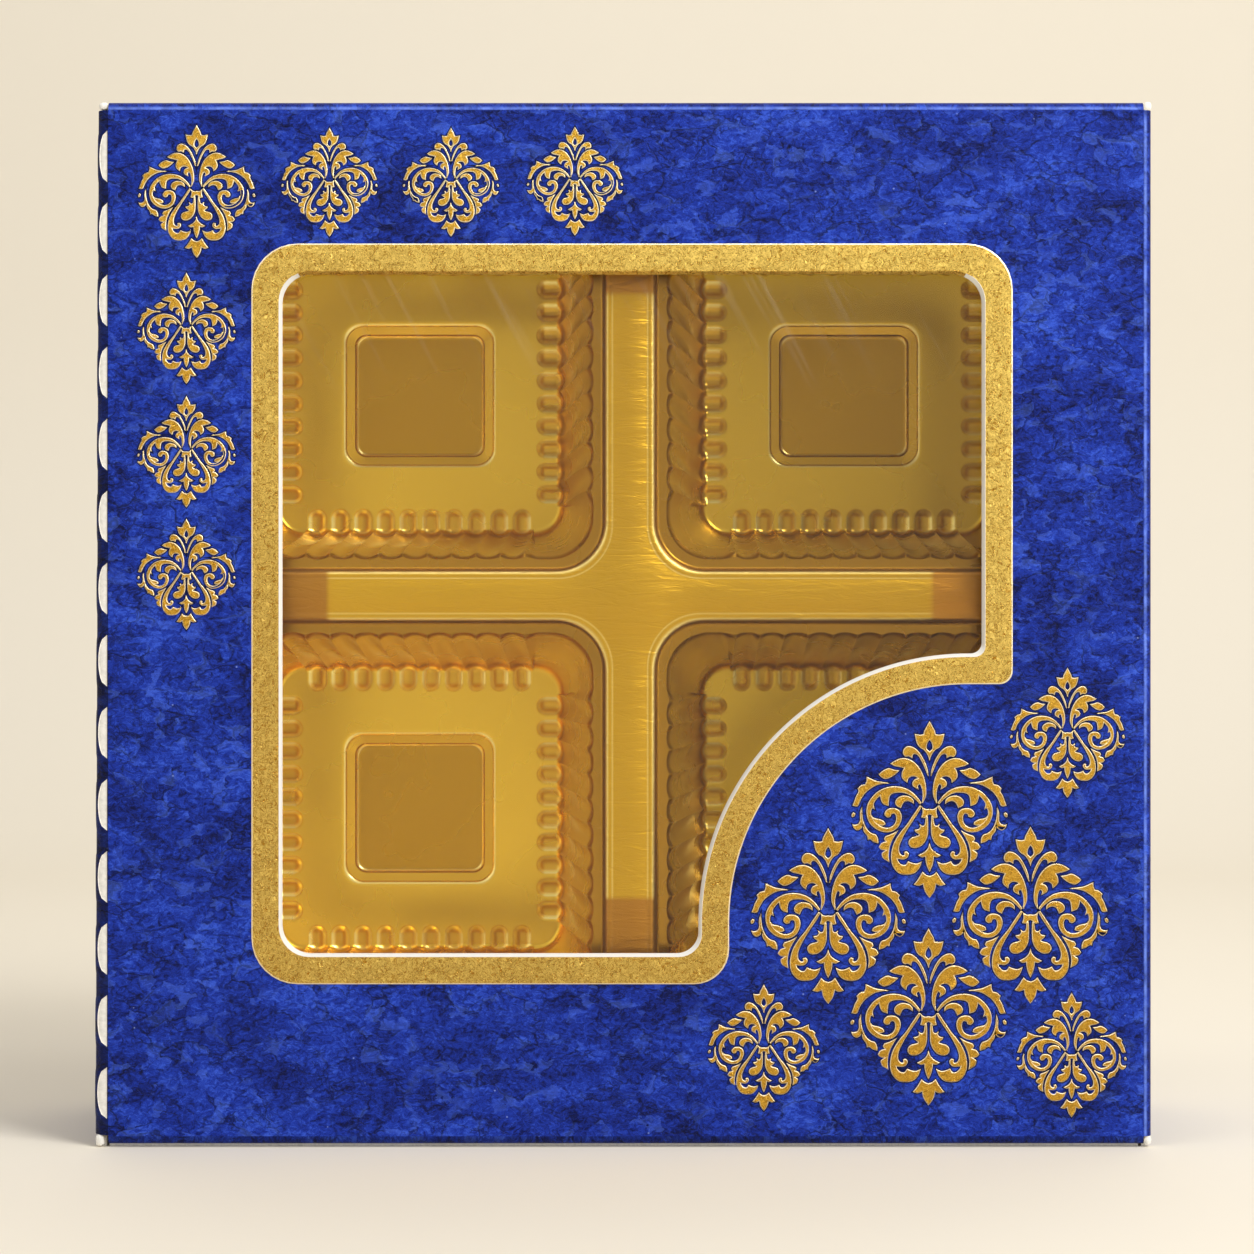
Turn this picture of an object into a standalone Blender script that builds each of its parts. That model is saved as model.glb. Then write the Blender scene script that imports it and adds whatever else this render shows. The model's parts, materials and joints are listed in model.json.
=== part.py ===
"""Window gift carton for four chocolates: a folded board box, its hinged lid and a vacuum-formed tray.

The carton stands on its bottom wall. X is its width, Y its depth from the lid to the back panel and
Z its height. The origin is on the surface it stands on, under the middle of the carton. The lid is
the front panel: it opens to the left, on a crease that is cut through in a row of short slits.
"""

import math

import bmesh
import bpy
from mathutils import Matrix, Vector

MM = 0.001
QUARTER = math.pi / 2

# Carton, outside
BOX_WIDTH = 101.6 * MM
BOX_HEIGHT = 101.6 * MM
BOX_DEPTH = 31.75 * MM

# Board and its folds
BOARD = 0.4 * MM
FOLD_RADIUS = 0.8 * MM
FIT_GAP = 0.3 * MM
OVERRUN = 0.2 * MM
WELD = 0.001 * MM

# Lid panel
EMBOSS = 0.1 * MM
WALL_SETBACK = 0.4 * MM
SIDE_CLEARANCE = 0.3 * MM
HINGE_GAP = 0.15 * MM
CORNER_NICK = 0.7 * MM

# Slits of the hinge crease
SLIT_LENGTH = 5.0 * MM
SLIT_PITCH = 7.0 * MM
SLIT_DEPTH = 0.5 * MM
SLIT_LEAST_MARGIN = 2.5 * MM

# Window, its scooped corner and the embossed border round it
WINDOW_MARGIN_LEFT = 17.6 * MM
WINDOW_MARGIN_RIGHT = 16.0 * MM
WINDOW_MARGIN_TOP = 16.75 * MM
WINDOW_MARGIN_BOTTOM = 18.85 * MM
WINDOW_RADIUS = 2.8 * MM
SCOOP_RADIUS = 26.2 * MM
SCOOP_INSET_X = 1.35 * MM
SCOOP_INSET_Z = 2.95 * MM
SIDE_LOBE_RADIUS = 1.05 * MM
FOOT_LOBE_RADIUS = 2.1 * MM
RAW_EDGE = 0.35 * MM
BORDER_WIDTH = 3.0 * MM
BORDER_RADIUS = 4.5 * MM
BORDER_SIDE_LOBE_RADIUS = 1.3 * MM
BORDER_FOOT_LOBE_RADIUS = 3.4 * MM

# Window film
FILM = 0.2 * MM
FILM_LAP = 5.0 * MM
FILM_RADIUS = 1.0 * MM

# Flaps that fold in from the lid
FLAP_LEAN = math.radians(5.0)
FLAP_RADIUS = 4.0 * MM
TUCK_LENGTH = 10.0 * MM
TUCK_END_INSET = 1.8 * MM
EAR_LENGTH = 11.0 * MM
EAR_START = 2.5 * MM
EAR_START_LENGTH = 1.0 * MM
EAR_TAPER = 32.0 * MM
EAR_END_INSET = 1.8 * MM

# Glue tabs of the base
TAB_LENGTH = 14.0 * MM
TAB_FRONT = 12.5 * MM
TAB_TAPER = 2.5 * MM

# Tray
TRAY_SHEET = 0.4 * MM
TRAY_CLEARANCE = 0.4 * MM
TRAY_RADIUS = 3.0 * MM
LIP_DEPTH = 3.0 * MM
LIP_DRAFT = 0.3 * MM
DECK_CLEARANCE = 2.25 * MM
DECK_MARGIN_LEFT = 6.55 * MM
DECK_MARGIN_RIGHT = 5.35 * MM
DECK_MARGIN_TOP = 3.15 * MM
DECK_MARGIN_BOTTOM = 8.75 * MM
BAR_WIDTH = 4.8 * MM
MOUTH_RADIUS = 4.6 * MM
RIM_DEPTH = 1.2 * MM
RIM_DRAFT = 0.2 * MM
LEDGE = 1.1 * MM
LEDGE_RADIUS = 4.2 * MM
WALL_RUN = 3.6 * MM
FLOOR_RADIUS = 3.0 * MM
FLOOR_EDGE = 0.5 * MM
FLUTE_LEAST_PITCH = 2.4 * MM
FLUTE_DEPTH = 0.45 * MM
FOOT_LENGTH = 2.3 * MM
FOOT_DEPTH = 0.4 * MM
PAD_MARGIN = 7.4 * MM
PAD_DEPTH = 2.4 * MM
PAD_SLOPE = 1.3 * MM
PAD_RADIUS = 1.3 * MM

# Steps that round each kind of curve
CORNER_STEPS = 5
SCOOP_STEPS = 20
SLIT_STEPS = 6
FOLD_STEPS = 4
MOUTH_STEPS = 4
PAD_STEPS = 3

# Places that follow from the sizes above
LEFT = -BOX_WIDTH / 2
RIGHT = BOX_WIDTH / 2
FRONT = -BOX_DEPTH / 2
BACK = BOX_DEPTH / 2
LID_FACE = FRONT + EMBOSS
LID_BACK = LID_FACE + BOARD
CREASE_Y = LID_BACK + FIT_GAP / 2
CREASE_RIGHT = RIGHT - BOARD - SIDE_CLEARANCE
CREASE_TOP = BOX_HEIGHT - BOARD - SIDE_CLEARANCE
CREASE_BOTTOM = BOARD + SIDE_CLEARANCE
WALL_FRONT = LID_FACE + WALL_SETBACK
SPINE_FRONT = LID_BACK + FIT_GAP
TAB_PLANE = RIGHT - BOARD - FIT_GAP
LEAN_ROOM = EAR_LENGTH * math.sin(FLAP_LEAN)
TRAY_HALF_WIDTH = RIGHT - BOARD - SIDE_CLEARANCE - BOARD - LEAN_ROOM - TRAY_CLEARANCE
TRAY_HALF_HEIGHT = BOX_HEIGHT / 2 - BOARD - SIDE_CLEARANCE - BOARD - LEAN_ROOM - TRAY_CLEARANCE
DECK_Y = LID_BACK + FIT_GAP + FILM + DECK_CLEARANCE
FLOOR_Y = BACK - BOARD - FIT_GAP - TRAY_SHEET - PAD_DEPTH
MOUTH_WIDTH = (2 * TRAY_HALF_WIDTH - DECK_MARGIN_LEFT - DECK_MARGIN_RIGHT - BAR_WIDTH) / 2
MOUTH_HEIGHT = (2 * TRAY_HALF_HEIGHT - DECK_MARGIN_TOP - DECK_MARGIN_BOTTOM - BAR_WIDTH) / 2
CROSS_X = DECK_MARGIN_LEFT + MOUTH_WIDTH + BAR_WIDTH / 2 - TRAY_HALF_WIDTH
CROSS_Z = BOX_HEIGHT / 2 - TRAY_HALF_HEIGHT + DECK_MARGIN_BOTTOM + MOUTH_HEIGHT + BAR_WIDTH / 2
WINDOW_LEFT = LEFT + WINDOW_MARGIN_LEFT
WINDOW_RIGHT = RIGHT - WINDOW_MARGIN_RIGHT
WINDOW_BOTTOM = WINDOW_MARGIN_BOTTOM
WINDOW_TOP = BOX_HEIGHT - WINDOW_MARGIN_TOP

# Colour, roughness and metallic value of each finish
FINISHES = {
    "print": ((0.02, 0.05, 0.42, 1.0), 0.35, 0.0),
    "board": ((0.86, 0.85, 0.81, 1.0), 0.8, 0.0),
    "film": ((0.92, 0.95, 0.96, 0.15), 0.05, 0.0),
    "gold": ((0.80, 0.56, 0.12, 1.0), 0.25, 1.0),
}


def clear_scene():
    """Remove what a new Blender file starts with."""
    for item in list(bpy.data.objects):
        bpy.data.objects.remove(item, do_unlink=True)


def make_collection(name):
    """Add a collection of this name to the scene."""
    collection = bpy.data.collections.new(name)
    bpy.context.scene.collection.children.link(collection)
    return collection


def make_material(node, finish):
    """Give a node its own Principled material from one of the finishes."""
    colour, roughness, metallic = FINISHES[finish]
    material = bpy.data.materials.new(node)
    material.use_nodes = True
    shader = material.node_tree.nodes["Principled BSDF"]
    shader.inputs["Base Color"].default_value = colour
    shader.inputs["Alpha"].default_value = colour[3]
    shader.inputs["Roughness"].default_value = roughness
    shader.inputs["Metallic"].default_value = metallic
    return material


def add_empty(name, place, collection, parent=None):
    """Put an empty on a joint's axis. Its place is given in world coordinates."""
    empty = bpy.data.objects.new(name, None)
    empty.empty_display_size = TAB_LENGTH
    collection.objects.link(empty)
    empty.location = place
    if parent:
        empty.parent = parent
        empty.location = Vector(place) - parent.location
    return empty


def add_object(name, mesh, finish, collection, parent=None):
    """Add a piece whose mesh is drawn in world coordinates, or from its parent's axis."""
    piece = bpy.data.objects.new(name, mesh)
    mesh.materials.clear()
    mesh.materials.append(make_material(name, finish))
    collection.objects.link(piece)
    piece.parent = parent
    return piece


def drawing_axes(along, across, through, origin):
    """Matrix that places a flat drawing: its X, its Y and the thickness of the sheet."""
    matrix = Matrix((along, across, through)).transposed().to_4x4()
    matrix.translation = origin
    return matrix


def arc(centre, radius, start, end, steps):
    """Points along an arc, both ends included."""
    points = []
    for step in range(steps + 1):
        angle = start + (end - start) * step / steps
        points.append((centre[0] + radius * math.cos(angle), centre[1] + radius * math.sin(angle)))
    return points


def plate_mesh(name, loops, thickness, matrix):
    """A flat sheet cut to one outline, with the other loops as its holes."""
    curve = bpy.data.curves.new(name, "CURVE")
    curve.dimensions = "2D"
    curve.fill_mode = "BOTH"
    curve.extrude = thickness / 2
    for loop in loops:
        spline = curve.splines.new("POLY")
        spline.points.add(len(loop) - 1)
        for point, (x, y) in zip(spline.points, loop):
            point.co = (x, y, 0, 1)
        spline.use_cyclic_u = True
    drawing = bpy.data.objects.new(name, curve)
    bpy.context.scene.collection.objects.link(drawing)
    graph = bpy.context.evaluated_depsgraph_get()
    mesh = bpy.data.meshes.new_from_object(drawing.evaluated_get(graph))
    bpy.data.objects.remove(drawing, do_unlink=True)
    bpy.data.curves.remove(curve)
    sheet = bmesh.new()
    sheet.from_mesh(mesh)
    bmesh.ops.remove_doubles(sheet, verts=sheet.verts, dist=WELD)
    sheet.transform(matrix)
    bmesh.ops.recalc_face_normals(sheet, faces=sheet.faces)
    sheet.to_mesh(mesh)
    sheet.free()
    return mesh


def quarter_bend(distance, start):
    """Where a point at this distance along a sheet lies once the sheet is bent a quarter turn.

    The result is how far the point has gone along the first direction and how far inwards.
    """
    bend_length = FOLD_RADIUS * QUARTER
    if distance <= start:
        return distance, 0
    if distance < start + bend_length:
        turn = (distance - start) / FOLD_RADIUS
        return start + FOLD_RADIUS * math.sin(turn), FOLD_RADIUS * (1 - math.cos(turn))
    return start + FOLD_RADIUS, FOLD_RADIUS + distance - start - bend_length


def folded_sheet(name, outline, bend_start, along, inward, across, origin):
    """A board panel drawn flat, folded once and thickened towards the inside of the fold."""
    sheet = bmesh.new()
    sheet.faces.new([sheet.verts.new((u, v, 0)) for u, v in outline])
    for step in range(FOLD_STEPS + 1):
        line = bend_start + FOLD_RADIUS * QUARTER * step / FOLD_STEPS
        everything = sheet.verts[:] + sheet.edges[:] + sheet.faces[:]
        bmesh.ops.bisect_plane(sheet, geom=everything, dist=WELD, plane_co=(line, 0, 0), plane_no=(1, 0, 0))
    for vertex in sheet.verts:
        forward, deep = quarter_bend(vertex.co.x, bend_start)
        vertex.co = origin + along * forward + inward * deep + across * vertex.co.y
    sheet.normal_update()
    flat_face = max(sheet.faces, key=lambda face: face.calc_area())
    outside = along if bend_start <= 0 else -inward
    if flat_face.normal.dot(outside) < 0:
        bmesh.ops.reverse_faces(sheet, faces=sheet.faces)
    mesh = bpy.data.meshes.new(name)
    sheet.to_mesh(mesh)
    sheet.free()
    return mesh


def thicken(piece, thickness):
    """Give an open surface its thickness on the side away from its normals."""
    solidify = piece.modifiers.new("Thickness", "SOLIDIFY")
    solidify.thickness = thickness
    solidify.offset = -1
    solidify.use_even_offset = True


def slit_starts():
    """Where each slit of the hinge crease starts, up the height of the carton."""
    room = BOX_HEIGHT - 2 * SLIT_LEAST_MARGIN - SLIT_LENGTH
    count = int(room / SLIT_PITCH) + 1
    margin = (BOX_HEIGHT - (count - 1) * SLIT_PITCH - SLIT_LENGTH) / 2
    return [margin + index * SLIT_PITCH for index in range(count)]


def slit_edge():
    """The scalloped edge that the slits leave, from the bottom up: height and depth of each point."""
    points = []
    for start in slit_starts():
        for step in range(SLIT_STEPS + 1):
            share = step / SLIT_STEPS
            points.append((start + SLIT_LENGTH * share, SLIT_DEPTH * math.sin(math.pi * share)))
    return points


def window_outline(grow, radius, side_lobe_radius, foot_lobe_radius):
    """The window's scooped outline, moved outwards by grow, anticlockwise from its lower left corner."""
    left = WINDOW_LEFT - grow
    right = WINDOW_RIGHT + grow
    bottom = WINDOW_BOTTOM - grow
    top = WINDOW_TOP + grow
    scoop = SCOOP_RADIUS - grow
    centre = (WINDOW_RIGHT - SCOOP_INSET_X, WINDOW_BOTTOM + SCOOP_INSET_Z)
    foot_x = centre[0] - scoop
    side_z = centre[1] + scoop
    outline = arc((left + radius, bottom + radius), radius, 2 * QUARTER, 3 * QUARTER, CORNER_STEPS)
    lobe = foot_lobe_radius
    outline += arc((foot_x - lobe, bottom + lobe), lobe, 3 * QUARTER, 4 * QUARTER, CORNER_STEPS)
    outline += arc(centre, scoop, 2 * QUARTER, QUARTER, SCOOP_STEPS)
    lobe = side_lobe_radius
    outline += arc((right - lobe, side_z + lobe), lobe, 3 * QUARTER, 4 * QUARTER, CORNER_STEPS)
    outline += arc((right - radius, top - radius), radius, 0, QUARTER, CORNER_STEPS)
    outline += arc((left + radius, top - radius), radius, QUARTER, 2 * QUARTER, CORNER_STEPS)
    return outline


def lid_outline():
    """The lid panel's outline, with nicked corners and the slits in its left edge."""
    left = LEFT + HINGE_GAP
    outline = [(CREASE_RIGHT - CORNER_NICK, CREASE_TOP), (left + CORNER_NICK, CREASE_TOP)]
    outline.append((left, CREASE_TOP - CORNER_NICK))
    outline += [(left + deep, height) for height, deep in reversed(slit_edge())]
    outline += [(left, CREASE_BOTTOM + CORNER_NICK), (left + CORNER_NICK, CREASE_BOTTOM)]
    outline += [(CREASE_RIGHT - CORNER_NICK, CREASE_BOTTOM), (CREASE_RIGHT, CREASE_BOTTOM + CORNER_NICK)]
    outline.append((CREASE_RIGHT, CREASE_TOP - CORNER_NICK))
    return outline


def front_drawing(y):
    """Axes of a drawing that faces the front, with its sheet centred at this y."""
    return drawing_axes(Vector((1, 0, 0)), Vector((0, 0, 1)), Vector((0, -1, 0)), Vector((0, y, 0)))


def from_axis(mesh, axis):
    """Redraw a mesh from its joint's axis instead of from the world's origin."""
    mesh.transform(Matrix.Translation(-Vector(axis)))
    return mesh


def make_lid_panel(parts, cutters, hinge, axis):
    """The front panel: a board plate with the window cut out and the border embossed round it."""
    window = window_outline(0, WINDOW_RADIUS, SIDE_LOBE_RADIUS, FOOT_LOBE_RADIUS)
    mesh = plate_mesh("lid_panel", [lid_outline(), window], BOARD, front_drawing(LID_FACE + BOARD / 2))
    panel = add_object("lid_panel", from_axis(mesh, axis), "print", parts, hinge)
    inner = window_outline(
        RAW_EDGE, WINDOW_RADIUS + RAW_EDGE, SIDE_LOBE_RADIUS + RAW_EDGE, FOOT_LOBE_RADIUS + RAW_EDGE
    )
    outer = window_outline(BORDER_WIDTH, BORDER_RADIUS, BORDER_SIDE_LOBE_RADIUS, BORDER_FOOT_LOBE_RADIUS)
    height = EMBOSS + OVERRUN
    ring_mesh = plate_mesh("border_ring", [outer, inner], height, front_drawing(FRONT + height / 2))
    ring = add_object("border_ring", from_axis(ring_mesh, axis), "gold", cutters, hinge)
    ring.hide_render = True
    ring.display_type = "WIRE"
    join = panel.modifiers.new("Embossed border", "BOOLEAN")
    join.operation = "UNION"
    join.solver = "EXACT"
    join.object = ring
    return panel


def make_film(parts, hinge, axis):
    """The clear film, a rounded rectangle glued behind the window."""
    left = WINDOW_LEFT - FILM_LAP
    right = WINDOW_RIGHT + FILM_LAP
    bottom = WINDOW_BOTTOM - FILM_LAP
    top = WINDOW_TOP + FILM_LAP
    corners = [(right, top, 0), (left, top, 1), (left, bottom, 2), (right, bottom, 3)]
    outline = []
    for x, z, turn in corners:
        inward_x = -FILM_RADIUS if x > 0 else FILM_RADIUS
        inward_z = -FILM_RADIUS if z > BOX_HEIGHT / 2 else FILM_RADIUS
        start = turn * QUARTER
        outline += arc((x + inward_x, z + inward_z), FILM_RADIUS, start, start + QUARTER, CORNER_STEPS)
    y = LID_BACK + FIT_GAP + FILM / 2
    mesh = plate_mesh("window_film", [outline], FILM, front_drawing(y))
    return add_object("window_film", from_axis(mesh, axis), "film", parts, hinge)


def make_tuck_flap(parts, crease):
    """The flap on the lid's right fold. It leans in a little, so that it clears the right wall."""
    half = (CREASE_TOP - CREASE_BOTTOM) / 2 - TUCK_END_INSET
    tip = FIT_GAP / 2 + TUCK_LENGTH
    outline = [(-half, FIT_GAP / 2), (half, FIT_GAP / 2)]
    outline += arc((half - FLAP_RADIUS, tip - FLAP_RADIUS), FLAP_RADIUS, 0, QUARTER, CORNER_STEPS)
    outline += arc((FLAP_RADIUS - half, tip - FLAP_RADIUS), FLAP_RADIUS, QUARTER, 2 * QUARTER, CORNER_STEPS)
    axes = drawing_axes(Vector((0, 0, 1)), Vector((0, 1, 0)), Vector((-1, 0, 0)), Vector((-BOARD / 2, 0, 0)))
    mesh = plate_mesh("tuck_flap", [outline], BOARD, axes)
    flap = add_object("tuck_flap", mesh, "print", parts, crease)
    flap.rotation_euler.z = FLAP_LEAN
    return flap


def make_ear(name, upward, parts, crease):
    """A flap on the lid's top or bottom fold, tapered towards the hinge so that it swings clear."""
    middle = (CREASE_RIGHT + LEFT) / 2
    start = LEFT + EAR_START - middle
    full = LEFT + EAR_TAPER - middle
    end = CREASE_RIGHT - EAR_END_INSET - middle
    tip = FIT_GAP / 2 + EAR_LENGTH
    outline = [(start, FIT_GAP / 2), (end, FIT_GAP / 2)]
    outline += arc((end - FLAP_RADIUS, tip - FLAP_RADIUS), FLAP_RADIUS, 0, QUARTER, CORNER_STEPS)
    outline += [(full, tip), (start, FIT_GAP / 2 + EAR_START_LENGTH)]
    side = 1 if upward else -1
    axes = drawing_axes(
        Vector((1, 0, 0)), Vector((0, 1, 0)), Vector((0, 0, 1)), Vector((0, 0, -side * BOARD / 2))
    )
    mesh = plate_mesh(name, [outline], BOARD, axes)
    ear = add_object(name, mesh, "print", parts, crease)
    ear.rotation_euler.x = -side * FLAP_LEAN
    return ear


def make_side_wall(name, side, parts):
    """The left or right wall: full height, folded at the back, with the slits in the left one."""
    front = SPINE_FRONT if side < 0 else WALL_FRONT
    flat = BACK - FOLD_RADIUS - front
    end = flat + FOLD_RADIUS * QUARTER
    inset = FOLD_RADIUS + FIT_GAP
    outline = [(flat, BOX_HEIGHT), (0, BOX_HEIGHT)]
    if side < 0:
        outline += [(deep, height) for height, deep in reversed(slit_edge())]
    outline += [(0, 0), (flat, 0), (flat, inset), (end, inset)]
    outline += [(end, BOX_HEIGHT - inset), (flat, BOX_HEIGHT - inset)]
    inward = Vector((-side, 0, 0))
    origin = Vector((side * RIGHT, front, 0))
    mesh = folded_sheet(name, outline, flat, Vector((0, 1, 0)), inward, Vector((0, 0, 1)), origin)
    wall = add_object(name, mesh, "print", parts)
    thicken(wall, BOARD)
    return wall


def make_level_wall(name, side, parts):
    """The top or bottom wall, between the side walls, narrower behind where the glue tabs fold off."""
    flat = BACK - FOLD_RADIUS - WALL_FRONT
    end = flat + FOLD_RADIUS * QUARTER
    tab_start = FRONT + TAB_FRONT - WALL_FRONT - FIT_GAP
    wide = TAB_PLANE
    narrow = TAB_PLANE - FOLD_RADIUS - FIT_GAP
    half = [(0, wide), (tab_start, wide), (tab_start, narrow), (end, narrow)]
    outline = half + [(u, -v) for u, v in reversed(half)]
    inward = Vector((0, 0, -side))
    origin = Vector((0, WALL_FRONT, BOX_HEIGHT if side > 0 else 0))
    mesh = folded_sheet(name, outline, flat, Vector((0, 1, 0)), inward, Vector((1, 0, 0)), origin)
    wall = add_object(name, mesh, "print", parts)
    thicken(wall, BOARD)
    return wall


def make_glue_tab(name, side, level, parts):
    """A corner tab, folded off the top or bottom wall and glued inside a side wall."""
    start = FRONT + TAB_FRONT
    end = BACK - FOLD_RADIUS - FIT_GAP
    bend = FOLD_RADIUS * QUARTER
    tip = bend + TAB_LENGTH
    outline = [(0, start), (bend, start), (tip, start + TAB_TAPER)]
    outline += [(tip, end - TAB_TAPER), (bend, end), (0, end)]
    along = Vector((side, 0, 0))
    inward = Vector((0, 0, -level))
    origin = Vector((side * (TAB_PLANE - FOLD_RADIUS), 0, BOX_HEIGHT if level > 0 else 0))
    mesh = folded_sheet(name, outline, 0, along, inward, Vector((0, 1, 0)), origin)
    tab = add_object(name, mesh, "board", parts)
    thicken(tab, BOARD)
    return tab


def make_base_panel(parts):
    """The back of the carton, between the folds of its four walls."""
    inset = FOLD_RADIUS + FIT_GAP
    left = LEFT + inset
    right = RIGHT - inset
    top = BOX_HEIGHT - inset
    outline = [(left, inset), (right, inset), (right, top), (left, top)]
    mesh = plate_mesh("base_panel", [outline], BOARD, front_drawing(BACK - BOARD / 2))
    return add_object("base_panel", mesh, "print", parts)


def rounded_rectangle(half_width, half_height, radius, steps):
    """Points round a rectangle with arc corners, anticlockwise from its lower right corner."""
    points = []
    corners = [(1, -1), (1, 1), (-1, 1), (-1, -1)]
    for turn, (side, level) in enumerate(corners):
        centre = (side * (half_width - radius), level * (half_height - radius))
        start = (turn - 1) * QUARTER
        points += arc(centre, radius, start, start + QUARTER, steps)
    return points


def flute_row(half_run, half_wall):
    """The wall, start and pitch of each flute along one side: as many as fit its straight run."""
    straight = 2 * (half_run - FLOOR_RADIUS)
    count = int(straight / FLUTE_LEAST_PITCH)
    pitch = straight / count
    return [(half_wall, index * pitch - straight / 2, pitch) for index in range(count)]


def fluted_rectangle(floor_half, shift, radius, channel_inset):
    """Points round a cavity, each side a row of flutes with three points to a flute, and arc corners.

    The flutes are those of the floor, whose half sizes are floor_half; shift moves the walls outwards.
    Each point comes with a mark that says whether it is on a cusp, in a channel or in a corner.
    """
    points = []
    for turn in range(4):
        half_wall = floor_half[turn % 2] + shift
        half_run = floor_half[1 - turn % 2]
        row = flute_row(half_run, half_wall)
        side_points = []
        for wall, place, pitch in row:
            side_points.append((wall - FLUTE_DEPTH, place, "cusp"))
            side_points.append((wall - channel_inset, place + pitch / 4, "channel"))
            side_points.append((wall - channel_inset, place + 3 * pitch / 4, "channel"))
        side_points.append((half_wall - FLUTE_DEPTH, half_run - FLOOR_RADIUS, "cusp"))
        centre = (half_wall - radius, half_run + shift - radius)
        side_points += [(x, y, "corner") for x, y in arc(centre, radius, 0, QUARTER, MOUTH_STEPS)]
        cosine = round(math.cos(turn * QUARTER))
        sine = round(math.sin(turn * QUARTER))
        points += [(x * cosine - y * sine, x * sine + y * cosine, mark) for x, y, mark in side_points]
    return points


def add_ring(surface, points, centre, y):
    """Add a closed loop of vertices at one depth."""
    return [surface.verts.new((centre[0] + point[0], y, centre[1] + point[1])) for point in points]


def close_ring(surface, ring):
    """The edges round a loop, made where they don't exist yet."""
    edges = []
    for first, second in zip(ring, ring[1:] + ring[:1]):
        edge = surface.edges.get((first, second))
        edges.append(edge or surface.edges.new((first, second)))
    return edges


def bridge(surface, first, second):
    """A band of quads between two loops of as many points."""
    count = len(first)
    for index in range(count):
        after = (index + 1) % count
        surface.faces.new((first[index], first[after], second[after], second[index]))


def fill_between(surface, rings):
    """A flat face inside the first loop, with the other loops as its holes."""
    edges = []
    for ring in rings:
        edges += close_ring(surface, ring)
    bmesh.ops.triangle_fill(surface, use_beauty=True, edges=edges)


def add_cavity(surface, centre):
    """One cavity, from the mouth's edge down its fluted walls to the pad in its floor."""
    mouth_half = (MOUTH_WIDTH / 2, MOUTH_HEIGHT / 2)
    rim_half = [half - RIM_DRAFT for half in mouth_half]
    floor_half = [half - LEDGE - WALL_RUN for half in rim_half]
    rim_y = DECK_Y + RIM_DEPTH
    rim_radius = MOUTH_RADIUS - RIM_DRAFT
    mouth = add_ring(surface, rounded_rectangle(*mouth_half, MOUTH_RADIUS, MOUTH_STEPS), centre, DECK_Y)
    rim = add_ring(surface, rounded_rectangle(*rim_half, rim_radius, MOUTH_STEPS), centre, rim_y)
    bridge(surface, mouth, rim)
    ledge = add_ring(surface, fluted_rectangle(floor_half, WALL_RUN, LEDGE_RADIUS, 0), centre, rim_y)
    fill_between(surface, [rim, ledge])
    wall_foot = fluted_rectangle(floor_half, 0, FLOOR_RADIUS, 0)
    foot = add_ring(surface, wall_foot, centre, FLOOR_Y)
    for vertex, point in zip(foot, wall_foot):
        if point[2] == "channel":
            vertex.co.y += FOOT_DEPTH
        if point[2] == "corner":
            vertex.co.y -= FLOOR_EDGE
    bridge(surface, ledge, foot)
    floor_points = fluted_rectangle(
        floor_half, -FLOOR_EDGE, FLOOR_RADIUS - FLOOR_EDGE, FOOT_LENGTH - FLOOR_EDGE
    )
    floor = add_ring(surface, floor_points, centre, FLOOR_Y)
    bridge(surface, foot, floor)
    pad_half = [half - PAD_MARGIN for half in floor_half]
    well_half = [half - PAD_SLOPE for half in pad_half]
    pad = add_ring(surface, rounded_rectangle(*pad_half, PAD_RADIUS, PAD_STEPS), centre, FLOOR_Y)
    fill_between(surface, [floor, pad])
    well_y = FLOOR_Y + PAD_DEPTH
    well = add_ring(surface, rounded_rectangle(*well_half, PAD_RADIUS, PAD_STEPS), centre, well_y)
    bridge(surface, pad, well)
    surface.faces.new(well)
    return mouth


def make_tray(parts):
    """The vacuum-formed tray: a deck with four cavities and a lip turned down round it."""
    surface = bmesh.new()
    across = (MOUTH_WIDTH + BAR_WIDTH) / 2
    up = (MOUTH_HEIGHT + BAR_WIDTH) / 2
    mouths = []
    for side in (-1, 1):
        for level in (-1, 1):
            mouths.append(add_cavity(surface, (CROSS_X + side * across, CROSS_Z + level * up)))
    middle = (0, BOX_HEIGHT / 2)
    deck_half = (TRAY_HALF_WIDTH - LIP_DRAFT, TRAY_HALF_HEIGHT - LIP_DRAFT)
    edge_points = rounded_rectangle(*deck_half, TRAY_RADIUS, MOUTH_STEPS)
    deck_edge = add_ring(surface, edge_points, middle, DECK_Y)
    lip_points = rounded_rectangle(TRAY_HALF_WIDTH, TRAY_HALF_HEIGHT, TRAY_RADIUS + LIP_DRAFT, MOUTH_STEPS)
    lip = add_ring(surface, lip_points, middle, DECK_Y + LIP_DEPTH)
    bridge(surface, deck_edge, lip)
    fill_between(surface, [deck_edge] + mouths)
    bmesh.ops.recalc_face_normals(surface, faces=surface.faces)
    deck_face = min(surface.faces, key=lambda face: face.calc_center_median().y)
    if deck_face.normal.y > 0:
        bmesh.ops.reverse_faces(surface, faces=surface.faces)
    mesh = bpy.data.meshes.new("cavity_tray")
    surface.to_mesh(mesh)
    surface.free()
    tray = add_object("cavity_tray", mesh, "gold", parts)
    thicken(tray, TRAY_SHEET)
    return tray


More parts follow.
